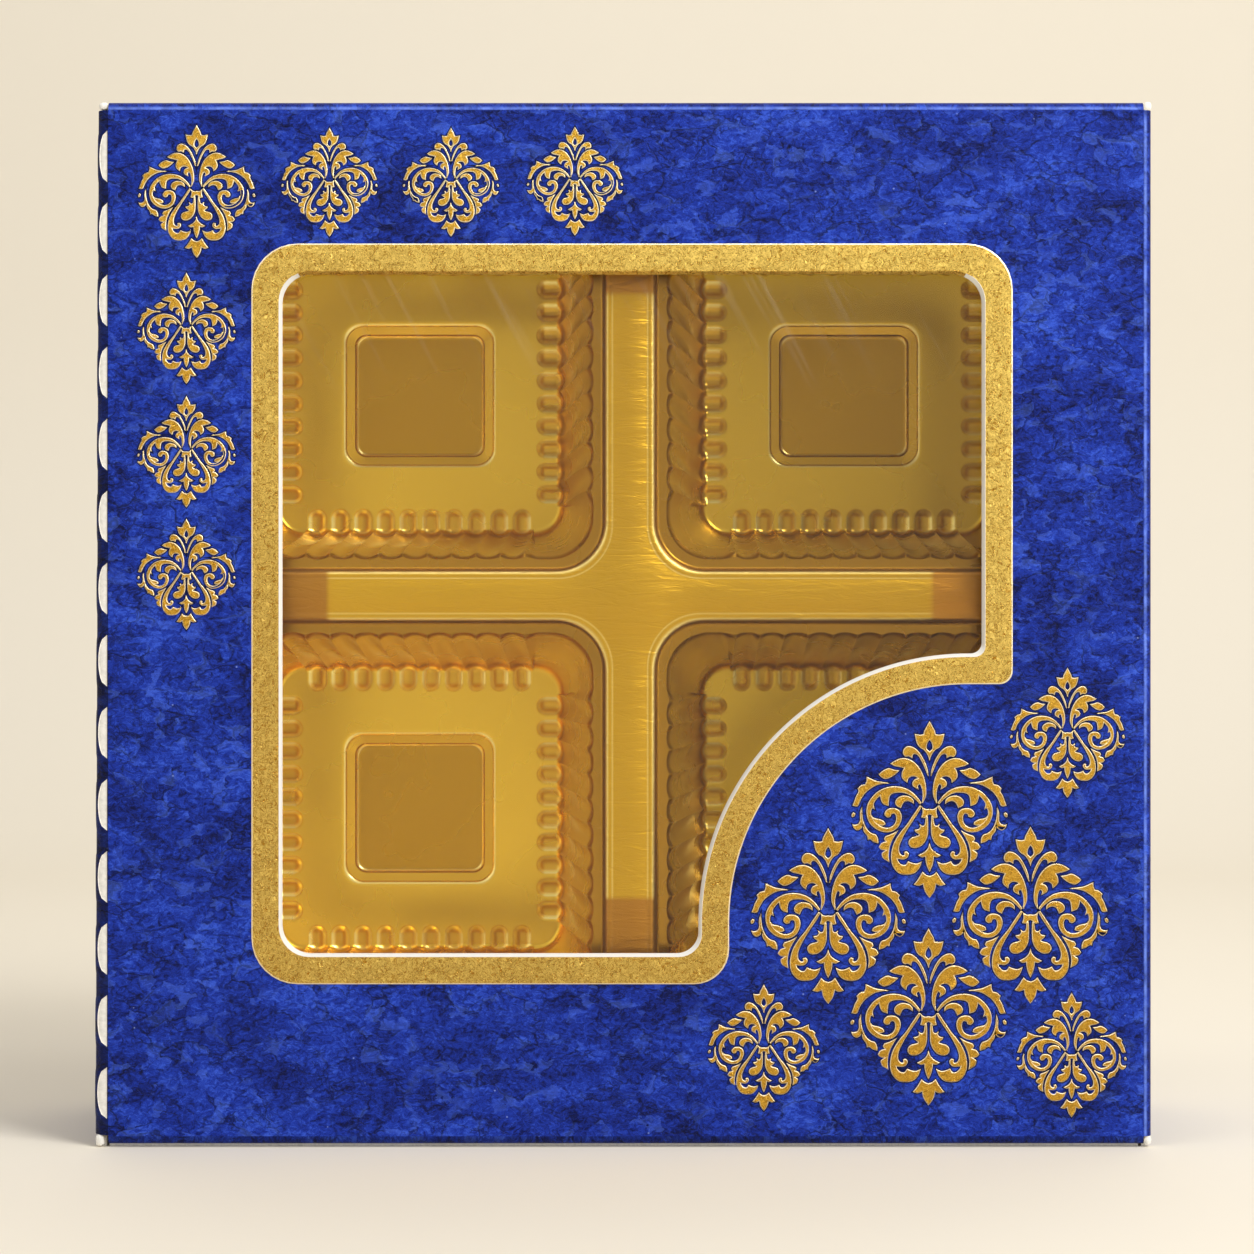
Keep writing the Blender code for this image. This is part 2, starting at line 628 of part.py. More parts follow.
def main():
    clear_scene()
    parts = make_collection("chocolate_box")
    cutters = make_collection("cutters")

    hinge_place = Vector((LEFT, CREASE_Y, BOX_HEIGHT / 2))
    hinge = add_empty("lid_hinge_axis", hinge_place, parts)
    tuck_crease = add_empty("tuck_crease_axis", (CREASE_RIGHT, CREASE_Y, BOX_HEIGHT / 2), parts, hinge)
    ear_middle = (CREASE_RIGHT + LEFT) / 2
    top_crease = add_empty("top_ear_axis", (ear_middle, CREASE_Y, CREASE_TOP), parts, hinge)
    bottom_crease = add_empty("bottom_ear_axis", (ear_middle, CREASE_Y, CREASE_BOTTOM), parts, hinge)

    make_base_panel(parts)
    make_side_wall("spine_wall", -1, parts)
    make_side_wall("right_wall", 1, parts)
    make_level_wall("top_wall", 1, parts)
    make_level_wall("bottom_wall", -1, parts)
    for side, side_name in ((-1, "left"), (1, "right")):
        for level, level_name in ((-1, "bottom"), (1, "top")):
            make_glue_tab(f"{level_name}_{side_name}_tab", side, level, parts)
    make_tray(parts)

    make_lid_panel(parts, cutters, hinge, hinge_place)
    make_film(parts, hinge, hinge_place)
    make_tuck_flap(parts, tuck_crease)
    make_ear("top_ear", True, parts, top_crease)
    make_ear("bottom_ear", False, parts, bottom_crease)


main()
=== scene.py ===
# %% [markdown]
# # A window gift carton for four chocolates
#
# The object is a small folding carton: a printed blue board box, a lid that hinges on a cut crease
# down its left side, a scooped window with a gold foil border, and a gold formed tray behind it.
# This lesson dresses the carton's measured frame. The frame holds the plain panels and the joints
# in metres, so each piece drawn here is placed straight from its sizes, with nothing to fit by eye.

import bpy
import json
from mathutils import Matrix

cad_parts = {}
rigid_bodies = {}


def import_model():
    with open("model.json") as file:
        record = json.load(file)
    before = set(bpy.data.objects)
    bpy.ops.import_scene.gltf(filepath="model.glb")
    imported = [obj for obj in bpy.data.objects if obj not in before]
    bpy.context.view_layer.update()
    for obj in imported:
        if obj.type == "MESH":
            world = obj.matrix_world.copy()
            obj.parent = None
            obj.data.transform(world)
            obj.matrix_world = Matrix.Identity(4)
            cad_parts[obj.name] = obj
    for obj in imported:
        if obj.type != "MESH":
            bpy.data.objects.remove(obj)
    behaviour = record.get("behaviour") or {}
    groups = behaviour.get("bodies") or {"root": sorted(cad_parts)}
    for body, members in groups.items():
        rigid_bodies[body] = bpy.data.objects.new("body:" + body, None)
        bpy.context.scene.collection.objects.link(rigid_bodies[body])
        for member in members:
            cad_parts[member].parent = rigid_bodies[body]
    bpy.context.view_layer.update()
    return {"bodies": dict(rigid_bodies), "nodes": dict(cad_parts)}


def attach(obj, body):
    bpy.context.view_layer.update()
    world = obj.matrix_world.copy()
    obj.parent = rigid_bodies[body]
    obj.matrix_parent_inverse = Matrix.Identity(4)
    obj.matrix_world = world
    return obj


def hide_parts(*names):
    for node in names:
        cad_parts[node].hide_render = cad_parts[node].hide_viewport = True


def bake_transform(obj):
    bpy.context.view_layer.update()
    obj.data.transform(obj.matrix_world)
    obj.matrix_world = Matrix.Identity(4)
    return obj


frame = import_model()
print("bodies:", sorted(frame["bodies"]))

# %% Tools of the trade
import json
import math

import bmesh
import bpy
import numpy as np
from mathutils import Matrix, Vector

MM = 0.001
QUARTER = math.pi / 2
STUDIO = bpy.context.scene.collection

# %% [markdown]
# ## The view
#
# The photograph looks straight at the lid, from about the height of its middle and through a long
# lens. A camera could be turned until the picture fits. It is better to keep it level and use the
# lens shift, because then the carton's upright edges stay upright, as they are in the picture.

# %% Camera
EYE = Vector((0.6, -341.0, 53.5)) * MM
LENS = 96.1
SHIFT = (-0.0024, -0.024)

view_data = bpy.data.cameras.new("view")
view_data.lens = LENS
view_data.sensor_width = 36.0
view_data.shift_x, view_data.shift_y = SHIFT
view_data.clip_start = 10 * MM
view_camera = bpy.data.objects.new("view", view_data)
view_camera.location = EYE
view_camera.rotation_euler = (QUARTER, 0, 0)
STUDIO.objects.link(view_camera)
bpy.context.scene.camera = view_camera
bpy.context.scene.view_settings.view_transform = "Standard"
print("camera at", [round(value, 4) for value in EYE])

# %% [markdown]
# ## Finishes
#
# Each finish is a recipe of nodes. Wiring nodes by hand takes many lines, so two small classes do it:
# a value is one output of a node and can be added and multiplied like a number, and a finish is a
# material with its shader. A number that is the same everywhere is written straight on the shader's
# socket, and only what changes over the surface is wired to it.

# %% A helper for recipes of nodes


def shade(red, green, blue):
    """A colour as a painter names it, in 0 to 255, turned into the renderer's linear values."""
    shares = [value / 255 for value in (red, green, blue)]
    linear = [share / 12.92 if share <= 0.04045 else ((share + 0.055) / 1.055) ** 2.4 for share in shares]
    return (*linear, 1.0)


def dimmed(colour, *shares):
    """A colour with its three channels cut to these shares, or all of them to one share."""
    cut = [channel * share for channel, share in zip(colour, shares * (3 // len(shares)))]
    return (*cut, 1.0)


class Value:
    """One output of a node. Each sum or change that is made of it adds a node to the recipe."""

    def __init__(self, recipe, node, key=0):
        self.recipe, self.node, self.key = recipe, node, key

    def __getitem__(self, key):
        """Another output of the same node."""
        return Value(self.recipe, self.node, key)

    def math(self, operation, other=0.0):
        return self.recipe.node("Math", {0: self, 1: other}, operation=operation)

    def __add__(self, other):
        return self.math("ADD", other)

    def __sub__(self, other):
        return self.math("SUBTRACT", other)

    def __mul__(self, other):
        return self.math("MULTIPLY", other)

    def spread(self, low, high, to_low=0.0, to_high=1.0):
        """Stretch it from one range to another."""
        inputs = {"Value": self, "From Min": low, "From Max": high, "To Min": to_low, "To Max": to_high}
        return self.recipe.node("MapRange", inputs)

    def mapped(self, scale=(1, 1, 1), turn=(0, 0, 0)):
        """The same place, scaled and then turned."""
        return self.recipe.node("Mapping", {"Vector": self, "Scale": scale, "Rotation": turn})

    def noise(self, scale, detail=4.0, roughness=0.55, distortion=0.0):
        """A cloudy noise over this place."""
        inputs = dict(Vector=self, Scale=scale, Detail=detail, Roughness=roughness, Distortion=distortion)
        return self.recipe.node("TexNoise", inputs)

    def warped(self, scale, amount, detail=3.0):
        """The same place, pushed about by a noise."""
        cloud = self.recipe.node("TexNoise", {"Vector": self, "Scale": scale, "Detail": detail})
        middle = self.recipe.node("VectorMath", {0: cloud["Color"], 1: (0.5, 0.5, 0.5)}, operation="SUBTRACT")
        grown = self.recipe.node("VectorMath", {0: middle, "Scale": amount}, operation="SCALE")
        return self.recipe.node("VectorMath", {0: self, 1: grown}, operation="ADD")

    def ramp(self, stops):
        """Colours along a share from 0 to 1."""
        made = self.recipe.node("ValToRGB", {"Fac": self})
        elements = made.node.color_ramp.elements
        for index in (0, -1):
            elements[index].position, elements[index].color = stops[index]
        for position, colour in stops[1:-1]:
            elements.new(position).color = colour
        return made

    def blend(self, first, second):
        """Two colours, mixed by this share."""
        return self.recipe.node("Mix", {0: self, 6: first, 7: second}, data_type="RGBA")[2]

    def relief(self, depth, strength):
        """A bump of this height. The depth is in metres."""
        return self.recipe.node("Bump", {"Height": self, "Distance": depth, "Strength": strength})


class Recipe:
    """A tree of nodes."""

    def __init__(self, owner):
        owner.use_nodes = True
        self.tree = owner.node_tree

    def feed(self, socket, value):
        """Wire a value to a socket, or write a number or a colour on it."""
        if isinstance(value, Value):
            self.tree.links.new(value.node.outputs[value.key], socket)
        else:
            socket.default_value = value

    def node(self, kind, inputs=(), **settings):
        """Add a node, choose its settings, feed its inputs and hand back its first output."""
        made = self.tree.nodes.new("ShaderNode" + kind)
        for key, value in settings.items():
            setattr(made, key, value)
        for key, value in dict(inputs).items():
            self.feed(made.inputs[key], value)
        return Value(self, made)


class Finish(Recipe):
    """A material with its tree of nodes and its main shader."""

    def __init__(self, name, colour, roughness, metallic=0.0):
        self.material = bpy.data.materials.new(name)
        super().__init__(self.material)
        self.set("Base Color", colour)
        self.set("Roughness", roughness)
        self.set("Metallic", metallic)

    def set(self, socket, value):
        self.feed(self.tree.nodes["Principled BSDF"].inputs[socket], value)

    def place(self, name, scale=(1, 1, 1)):
        """The place stored on each point of a piece, in millimetres times scale."""
        source = self.node("Attribute", attribute_name=name)["Vector"]
        return source.mapped([share / MM for share in scale])

    def parts(self, kind, value):
        """The three parts of a place, of kind XYZ, or of a colour, of kind Color."""
        split = self.node("Separate" + kind, {"Color" if kind == "Color" else "Vector": value})
        return split[0], split[1], split[2]


# %% [markdown]
# ## The blue print
#
# The board carries a royal-blue print that looks like split stone or crackled leather: bright and
# navy patches about a centimetre wide, thin dark cracks between them, and a fine fibre all over
# under a gloss varnish. Photographs of such paper could be wrapped round the box, but a recipe of
# noises has no seams and stays sharp close up. It reads the place on the flat printed sheet, which
# every board piece stores, so that the pattern runs on over the folds as real print does.

# %% Blue print
SHEET_PLACE = "sheet_place"
PRINT_SLANT = math.radians(-28)


def ridge(place, scale, width, distortion=0.8, detail=5.0):
    """Thin winding lines: 1 on a line and 0 away from it."""
    off_line = (place.noise(scale, detail, 0.6, distortion) - 0.5).math("ABSOLUTE")
    return off_line.spread(0.0, width, 1.0, 0.0)


def torn_flakes(finish, place, scale):
    """Irregular flakes: a value from 0 to 1 for each, and the distance to its rim."""
    inputs = {"Vector": place, "Scale": scale}
    cells = finish.node("TexVoronoi", inputs)
    rims = finish.node("TexVoronoi", inputs, feature="DISTANCE_TO_EDGE")
    return finish.parts("Color", cells["Color"])[0], rims["Distance"]


def make_blue_print(name, painted_light_share=1.0, fold=False):
    """The print's recipe. A share below 1 darkens all of it, as painted shade. With fold set, a painted
    highlight runs along the fold line, with painted shade on the part beyond it.
    """

    def ink(*tone):
        return dimmed(shade(*tone), painted_light_share)

    finish = Finish(name, ink(38, 57, 149), 0.42)
    sheet = finish.place(SHEET_PLACE)
    slant = sheet.mapped((0.8, 1.15, 1.0), (0, 0, PRINT_SLANT))
    bent = slant.warped(0.2, 4.0, 5.0)
    ragged = slant.warped(0.4, 3.4, 5.0).warped(2.0, 0.55, 4.0)
    patches = bent.noise(0.1, 8.0, 0.62, 0.3)
    fibres = slant.warped(0.6, 1.6, 5.0).noise(2.1, 6.0, 0.72, 1.0)
    large, large_rim = torn_flakes(finish, ragged, 0.3)
    small, small_rim = torn_flakes(finish, ragged, 0.8)
    tone = patches * 0.26 + fibres * 0.425 + (large * 0.03 + small * 0.045)
    colour = tone.ramp([
        (0.29, ink(4, 12, 62)),
        (0.33, ink(13, 30, 108)),
        (0.37, ink(21, 44, 142)),
        (0.41, ink(30, 58, 170)),
        (0.46, ink(52, 86, 204)),
    ])
    around = bent.noise(0.26).spread(0.44, 0.54)
    elsewhere = bent.noise(0.5, 3.0, 0.5, 0.4).spread(0.5, 0.58)
    rims = large_rim.spread(0.0, 0.05, 1.0, 0.0) * around
    small_rims = small_rim.spread(0.0, 0.09, 0.85, 0.0) * elsewhere
    cracks = ridge(bent, 0.24, 0.012) * around
    dark = rims.math("MAXIMUM", small_rims).math("MAXIMUM", cracks * 0.8)
    colour = (dark * 0.88).blend(colour, ink(3, 7, 44))
    lips = large_rim.spread(0.05, 0.13, 1.0, 0.0) * small.spread(0.62, 0.9)
    colour = (lips * 0.22).blend(colour, ink(84, 118, 232))
    if fold:
        # A painted highlight on a line just past the fold, broken by a noise, and painted shade beyond it.
        away = finish.parts("XYZ", sheet)[0]
        line = away.spread(-0.02, 0.12) * away.spread(0.22, 0.42, 1.0, 0.0)
        highlight_breaks = sheet.noise(0.5).spread(0.35, 0.6, 0.2, 0.85)
        colour = away.spread(0.42, 0.8, 0.0, 0.6).blend(colour, ink(8, 18, 84))
        colour = (line * highlight_breaks).blend(colour, ink(112, 142, 240))
    specks = finish.node("TexVoronoi", {"Vector": sheet, "Scale": 0.8})
    chosen = finish.parts("Color", specks["Color"])[0]
    speck = specks["Distance"].spread(0.05, 0.09, 1.0, 0.0) * chosen.spread(0.86, 0.9)
    finish.set("Base Color", (speck * 0.5).blend(colour, ink(150, 172, 240)))
    grain = sheet.noise(2.6, 5.0, 0.65, 0.6)
    height = fibres * 0.5 + grain * 0.2 + (large * 0.34 + small * 0.28) - dark * 0.25
    finish.set("Normal", height.relief(0.17 * MM, 0.9))
    finish.set("Roughness", fibres.spread(0.3, 0.7, 0.3, 0.5))
    finish.set("Specular IOR Level", 0.12)
    return finish.material


blue_print = make_blue_print("blue_print")
# The crease's and the lower ear's prints are darkened as painted shade; the fold print has a painted
# highlight.
shaded_crease_print = make_blue_print("shaded_crease_print", 0.3)
fold_highlight_print = make_blue_print("fold_highlight_print", 1.0, True)
shaded_fold_print = make_blue_print("shaded_fold_print", 0.6)
print("finish:", blue_print.name, "with", len(blue_print.node_tree.nodes), "nodes")

# %% [markdown]
# ## The bare board
#
# Inside, and on every cut edge, the carton is uncoated white board: a soft off-white with short
# pulp fibres and faint specks. The cut edges are a touch warmer and rougher, because the knife
# opens the fibres there. Two shades of one recipe are enough.

# %% White board, inside and cut edge


def make_board(name, colour, roughness):
    finish = Finish(name, colour, roughness)
    pulp = finish.place(SHEET_PLACE).warped(0.8, 1.2).noise(2.2, 5.0, 0.6)
    finish.set("Base Color", pulp.ramp([(0.35, dimmed(colour, 0.86)), (0.6, colour)]))
    finish.set("Normal", pulp.relief(0.04 * MM, 0.5))
    finish.set("Specular IOR Level", 0.25)
    return finish.material


inside_board = make_board("inside_board", shade(236, 234, 228), 0.82)
cut_edge = make_board("cut_edge", shade(246, 243, 236), 0.9)
print("finish:", inside_board.name, cut_edge.name)

# %% [markdown]
# ## Folding a flat sheet
#
# A carton is cut flat and then folded, and the pieces here are made in that order too. An outline
# is drawn on the flat sheet and filled, cut into strips where it will bend, and each point is then
# walked along the profile of the fold. Bending a solid box afterwards would squeeze the board at
# its corners. The flat place of each point is stored for the print, and Solidify gives the board
# its thickness, with print outside, white inside and a raw edge all round.

# %% Profiles and flat outlines
BOARD = 0.4 * MM
ARC_STEPS = 8


def arc(centre, radius, start, end, steps=ARC_STEPS):
    """Points along an arc, both ends included."""
    angles = [start + (end - start) * step / steps for step in range(steps + 1)]
    return [(centre[0] + radius * math.cos(angle), centre[1] + radius * math.sin(angle)) for angle in angles]


def smooth_step(value, low, high):
    share = min(1.0, max(0.0, (value - low) / (high - low)))
    return share * share * (3 - 2 * share)


def along(profile):
    """The distance of each point of a profile from its start, measured on the sheet."""
    return np.concatenate([[0], np.cumsum(np.linalg.norm(np.diff(np.array(profile), axis=0), axis=1))])


def walk(profile, distance):
    """Where a point lies at this distance along a bent sheet: how far on, and how far in."""
    stations = along(profile)
    return [float(np.interp(distance, stations, [point[side] for point in profile])) for side in (0, 1)]


# %% Sheets of board


def mesh_from(shape, name):
    """Hand a finished shape over to a new mesh."""
    mesh = bpy.data.meshes.new(name)
    shape.to_mesh(mesh)
    shape.free()
    return mesh


def skin(shape, low, high):
    """A closed band of faces between two rings of as many points."""
    corners = zip(low, low[1:] + low[:1], high[1:] + high[:1], high)
    return [shape.faces.new(face) for face in corners]


def finish_mesh(piece, sharp=35):
    """Bake the piece's modifiers into its mesh and smooth all but its sharp edges."""
    graph = bpy.context.evaluated_depsgraph_get()
    mesh = bpy.data.meshes.new_from_object(piece.evaluated_get(graph))
    mesh.name = piece.name
    piece.modifiers.clear()
    piece.data = mesh
    mesh.shade_smooth()
    mesh.set_sharp_from_angle(angle=math.radians(sharp))
    return piece


def add_piece(name, mesh, finishes):
    """Put a mesh in the scene with its finishes."""
    piece = bpy.data.objects.new(name, mesh)
    for finish in finishes:
        mesh.materials.append(finish)
    STUDIO.objects.link(piece)
    return piece


def fold_sheet(name, loops, cuts, place, turned=False):
    """Fill flat outlines, cut the sheet where it bends, and fold it by the function place."""
    sheet = bmesh.new()
    edges = []
    for loop in loops:
        ring = [sheet.verts.new((u, v, 0)) for u, v in loop]
        edges += [sheet.edges.new(pair) for pair in zip(ring, ring[1:] + ring[:1])]
    bmesh.ops.triangle_fill(sheet, use_beauty=True, edges=edges)
    for axis, value in cuts:
        point = [value if axis == index else 0 for index in range(3)]
        normal = [1 if axis == index else 0 for index in range(3)]
        everything = sheet.verts[:] + sheet.edges[:] + sheet.faces[:]
        bmesh.ops.bisect_plane(sheet, geom=everything, dist=0.001 * MM, plane_co=point, plane_no=normal)
    for face in sheet.faces:
        face.normal_update()
        if (face.normal.z < 0) != turned:
            face.normal_flip()
    flat = sheet.verts.layers.float_vector.new(SHEET_PLACE)
    for vertex in sheet.verts:
        u, v = vertex.co.x, vertex.co.y
        vertex[flat] = (u, v, 0)
        vertex.co = place(u, v)
    piece = add_piece(name, mesh_from(sheet, name), [blue_print, inside_board, cut_edge])
    board = piece.modifiers.new("Board", "SOLIDIFY")
    board.thickness = BOARD
    board.offset = -1
    board.material_offset = 1
    board.material_offset_rim = 2
    return finish_mesh(piece)


# %% [markdown]
# ## The folded base
#
# The back and the four walls are one blank, folded up round the tray. The top and bottom walls end
# in glue tabs that turn in behind the side walls. Five plates would show square corners, so the
# blank is drawn whole, as a cross with tabs, and each arm is walked round its own rounded fold.
# The walls stop a little behind the lid's face, since the lid's folds close in front of them.

# %% Folded base
HALF_WIDTH = 50.8 * MM
MIDDLE = 50.8 * MM
BACK = 15.875 * MM
FACE = -15.775 * MM
WALL_FRONT = FACE + 0.95 * MM
FOLD = 0.8 * MM
TAB_PLANE = 50.1 * MM
TAB_LENGTH = 14.0 * MM
TAB_FRONT = -3.375 * MM
TAB_TAPER = 2.5 * MM
CORNER_SLACK = 0.25 * MM


def folded_profile(reach, end):
    """Flat as far as a fold at this reach, round it, and on to an end this far in."""
    turn = [(reach - FOLD + x, FOLD - y) for x, y in arc((0, 0), FOLD, QUARTER, 0)]
    return [(0, 0), *turn, (reach, end)]


wall_profile = folded_profile(HALF_WIDTH, BACK - WALL_FRONT)
tab_profile = folded_profile(TAB_PLANE, TAB_LENGTH + FOLD)
wall_stations, tab_stations = along(wall_profile), along(tab_profile)
fold_edge = HALF_WIDTH - FOLD
wall_bend_end, wall_end = wall_stations[-2:]
tab_edge = TAB_PLANE - FOLD
tab_zone_end = wall_bend_end + (BACK - FOLD - TAB_FRONT)


def place_base(u, v):
    """Fold a point of the base's blank, whose middle is the middle of the back panel."""
    side = -1 if u < 0 else 1
    level = -1 if v < 0 else 1
    if abs(v) > MIDDLE + CORNER_SLACK / 2 or (abs(v) > fold_edge and abs(u) <= fold_edge):
        up, forward = walk(wall_profile, abs(v))
        across, inward = abs(u), 0
        if abs(v) < tab_zone_end + CORNER_SLACK / 2:
            across, inward = walk(tab_profile, abs(u))
        return (side * across, BACK - forward, MIDDLE + level * (up - inward))
    across, forward = walk(wall_profile, abs(u))
    return (side * across, BACK - forward, MIDDLE + v)


def base_outline():
    """The blank's outline: its upper right quarter, mirrored to the left and then downwards."""
    tab_start = wall_bend_end + CORNER_SLACK
    tab_bend_end, tab_tip = tab_stations[-2:]
    quarter = [
        (wall_end, 0),
        (wall_end, MIDDLE),
        (wall_bend_end, MIDDLE),
        (wall_bend_end, fold_edge - CORNER_SLACK),
        (fold_edge, fold_edge - CORNER_SLACK),
        (fold_edge - CORNER_SLACK, fold_edge),
        (fold_edge - CORNER_SLACK, wall_bend_end),
        (tab_edge, tab_start),
        (tab_bend_end, tab_start),
        (tab_tip, tab_start + TAB_TAPER),
        (tab_tip, tab_zone_end - TAB_TAPER),
        (tab_bend_end, tab_zone_end),
        (tab_edge, tab_zone_end),
        (tab_edge, tab_zone_end + CORNER_SLACK),
        (TAB_PLANE, tab_zone_end + CORNER_SLACK),
        (TAB_PLANE, wall_end),
        (0, wall_end),
    ]
    upper = quarter + [(-u, v) for u, v in quarter[-2:0:-1]]
    lower = [(-wall_end, 0)] + [(u, -v) for u, v in upper[:0:-1]]
    return upper + lower


bend_lines = [*wall_stations[1:-1], *tab_stations[1:-1]]
base_cuts = [(0, side * line) for line in bend_lines for side in (-1, 1)]
base_cuts += [(1, side * line) for line in wall_stations[1:-1] for side in (-1, 1)]
folded_base = fold_sheet("folded_base", [base_outline()], base_cuts, place_base, turned=True)
for corner in folded_base.data.vertices:
    corner.co.y = min(corner.co.y, BACK)
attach(folded_base, "base")
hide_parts("base_panel", "spine_wall", "right_wall", "top_wall", "bottom_wall")
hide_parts("top_left_tab", "top_right_tab", "bottom_left_tab", "bottom_right_tab")
print("folded base:", len(folded_base.data.polygons), "faces")

# %% [markdown]
# ## The lid's face and its window
#
# The lid is one panel with a large window. The window is a rounded square whose lower right corner
# is scooped out by a quarter of a circle, with a small rounded point at each end of the scoop. A
# cutter shape would leave a ragged edge on a thin sheet, so the window's outline is drawn as arcs
# and given to the fill as a hole. The same outline, grown, gives the foil border later.

# %% Window outline
WINDOW_LEFT = -33.2 * MM
WINDOW_RIGHT = 34.8 * MM
WINDOW_BOTTOM = 18.85 * MM
WINDOW_TOP = 84.85 * MM
SCOOP_CENTRE = (33.45 * MM, 21.8 * MM)
SCOOP_RADIUS = 26.2 * MM
CORNER_RADII = (2.8 * MM, 4.5 * MM)
SIDE_LOBE_RADII = (1.05 * MM, 1.3 * MM)
FOOT_LOBE_RADII = (2.1 * MM, 3.4 * MM)
BORDER_WIDTH = 3.0 * MM
SCOOP_STEPS = 64


def window_outline(grow):
    """The window's outline moved outwards, anticlockwise from its lower left corner."""
    share = grow / BORDER_WIDTH
    radius, side_lobe, foot_lobe = (
        least + (most - least) * share for least, most in (CORNER_RADII, SIDE_LOBE_RADII, FOOT_LOBE_RADII)
    )
    left, right = WINDOW_LEFT - grow, WINDOW_RIGHT + grow
    bottom, top = WINDOW_BOTTOM - grow, WINDOW_TOP + grow
    scoop = SCOOP_RADIUS - grow
    foot_x, side_z = SCOOP_CENTRE[0] - scoop, SCOOP_CENTRE[1] + scoop
    outline = arc((left + radius, bottom + radius), radius, 2 * QUARTER, 3 * QUARTER)
    outline += arc((foot_x - foot_lobe, bottom + foot_lobe), foot_lobe, 3 * QUARTER, 4 * QUARTER)
    outline += arc(SCOOP_CENTRE, scoop, 2 * QUARTER, QUARTER, SCOOP_STEPS)
    outline += arc((right - side_lobe, side_z + side_lobe), side_lobe, 3 * QUARTER, 4 * QUARTER)
    outline += arc((right - radius, top - radius), radius, 0, QUARTER)
    outline += arc((left + radius, top - radius), radius, QUARTER, 2 * QUARTER)
    return outline


# %% Lid face
FACE_LEFT = -50.1 * MM
FACE_RIGHT = 50.5 * MM
FACE_BOTTOM = 1.1 * MM
FACE_TOP = 100.8 * MM
CUT_BEVEL = 0.38 * MM

low_corners = [(FACE_LEFT, FACE_BOTTOM), (FACE_RIGHT, FACE_BOTTOM)]
face_outline = low_corners + [(FACE_RIGHT, FACE_TOP), (FACE_LEFT, FACE_TOP)]
lid_loops = [face_outline, window_outline(CUT_BEVEL)]
printed_lid = fold_sheet("printed_lid", lid_loops, [], lambda u, v: (u, FACE, v))
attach(printed_lid, "lid")
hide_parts("lid_panel")
print("lid:", len(printed_lid.data.polygons), "faces")

# %% [markdown]
# ## The lid's folds and flaps
#
# Three edges of the lid fold over into flaps: a tuck flap on the right and an ear above and below.
# Each fold bulges a little past the lid's face, as creased board does, and catches the light. The
# print of the top and right folds carries a painted highlight along the fold, with painted shade
# beyond it, and the lower ear's print is painted darker all over, as painted shade. Fold and flap
# are one strip, so nothing opens between them.

# %% Fold profiles
BULGE = 0.8 * MM
CURL = math.radians(155)
CURL_STEPS = 12
FLAP_LEAN = math.radians(5)
KNEE_DEPTH = 2.6 * MM
FOLD_LENGTH = 2.3 * MM
HELD_BACK = 0.9 * MM


def flap_profile(length, tuck_in):
    """A fold's profile, from the lid's face round the bulge and down a flap that lies tuck_in inside."""
    turns = [CURL * step / CURL_STEPS for step in range(CURL_STEPS + 1)]
    points = [(BULGE * math.sin(turn), BULGE * (1 - math.cos(turn))) for turn in turns]
    knee = (-tuck_in, KNEE_DEPTH)
    points.append(((points[-1][0] + knee[0]) / 2, (points[-1][1] + knee[1]) / 2))
    points.append(knee)
    points.append((knee[0] - length * math.sin(FLAP_LEAN), knee[1] + length * math.cos(FLAP_LEAN)))
    return points


def rounded_flap(length, radius, start, end, taper=0.0, taper_start=0.0):
    """A flap's outline: distance from the lid's edge, and place along it. Past the fold it is held back."""
    past = FOLD_LENGTH + HELD_BACK * 0.3
    outline = [(0, start), (0, end), (FOLD_LENGTH, end), (past, end - HELD_BACK)]
    far = end - HELD_BACK - radius
    outline += [(length - radius + x, far + y) for x, y in reversed(arc((0, 0), radius, 0, QUARTER))]
    if taper:
        return outline + [(length, start + taper), (taper_start, start)]
    near = start + HELD_BACK + radius
    outline += [(length - radius + x, near + y) for x, y in arc((0, 0), radius, 0, -QUARTER)]
    return outline + [(past, start + HELD_BACK), (FOLD_LENGTH, start)]


def make_flap(name, node, body, profile, outline, edge, outwards, turned=False):
    """A fold with its flap, bent round from the lid's edge. The body only picks the print: the lower ear
    gets the one darkened as painted shade.
    """

    def place(u, v):
        out, inward = walk(profile, u)
        across = edge[0] + out * outwards[0] if outwards[0] else v
        up = edge[2] + out * outwards[1] if outwards[1] else v
        return (across, FACE + inward, up)

    cuts = [(0, station) for station in along(profile)[1:-1]]
    piece = fold_sheet(name, [outline], cuts, place, turned)
    # The lower ear takes the print darkened as painted shade; the others the one with a painted highlight.
    piece.data.materials[0] = shaded_fold_print if body == "ear_below" else fold_highlight_print
    edge[0]
    edge[2]
    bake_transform(piece)
    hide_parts(node)
    print(name, len(piece.data.polygons), "faces")


# %% Tuck flap and ears
FLAP_RADIUS = 4.0 * MM
EAR_TAPER = 30.0 * MM

tuck_profile = flap_profile(8.0 * MM, 0.15 * MM)
tuck_outline = rounded_flap(along(tuck_profile)[-1], FLAP_RADIUS, FACE_BOTTOM, FACE_TOP)
ear_profile = flap_profile(8.5 * MM, 0.05 * MM)
ear_outline = rounded_flap(along(ear_profile)[-1], FLAP_RADIUS, FACE_LEFT, FACE_RIGHT, EAR_TAPER, 2.6 * MM)

# Each flap is told the middle of its edge, and which way it runs out from there: across and up.
tuck_edge, top_edge, bottom_edge = (FACE_RIGHT, FACE, MIDDLE), (0, FACE, FACE_TOP), (0, FACE, FACE_BOTTOM)
make_flap("tuck_sheet", "tuck_flap", "tuck", tuck_profile, tuck_outline, tuck_edge, (1, 0))
make_flap("upper_ear", "top_ear", "ear_above", ear_profile, ear_outline, top_edge, (0, 1), True)
make_flap("lower_ear", "bottom_ear", "ear_below", ear_profile, ear_outline, bottom_edge, (0, -1))
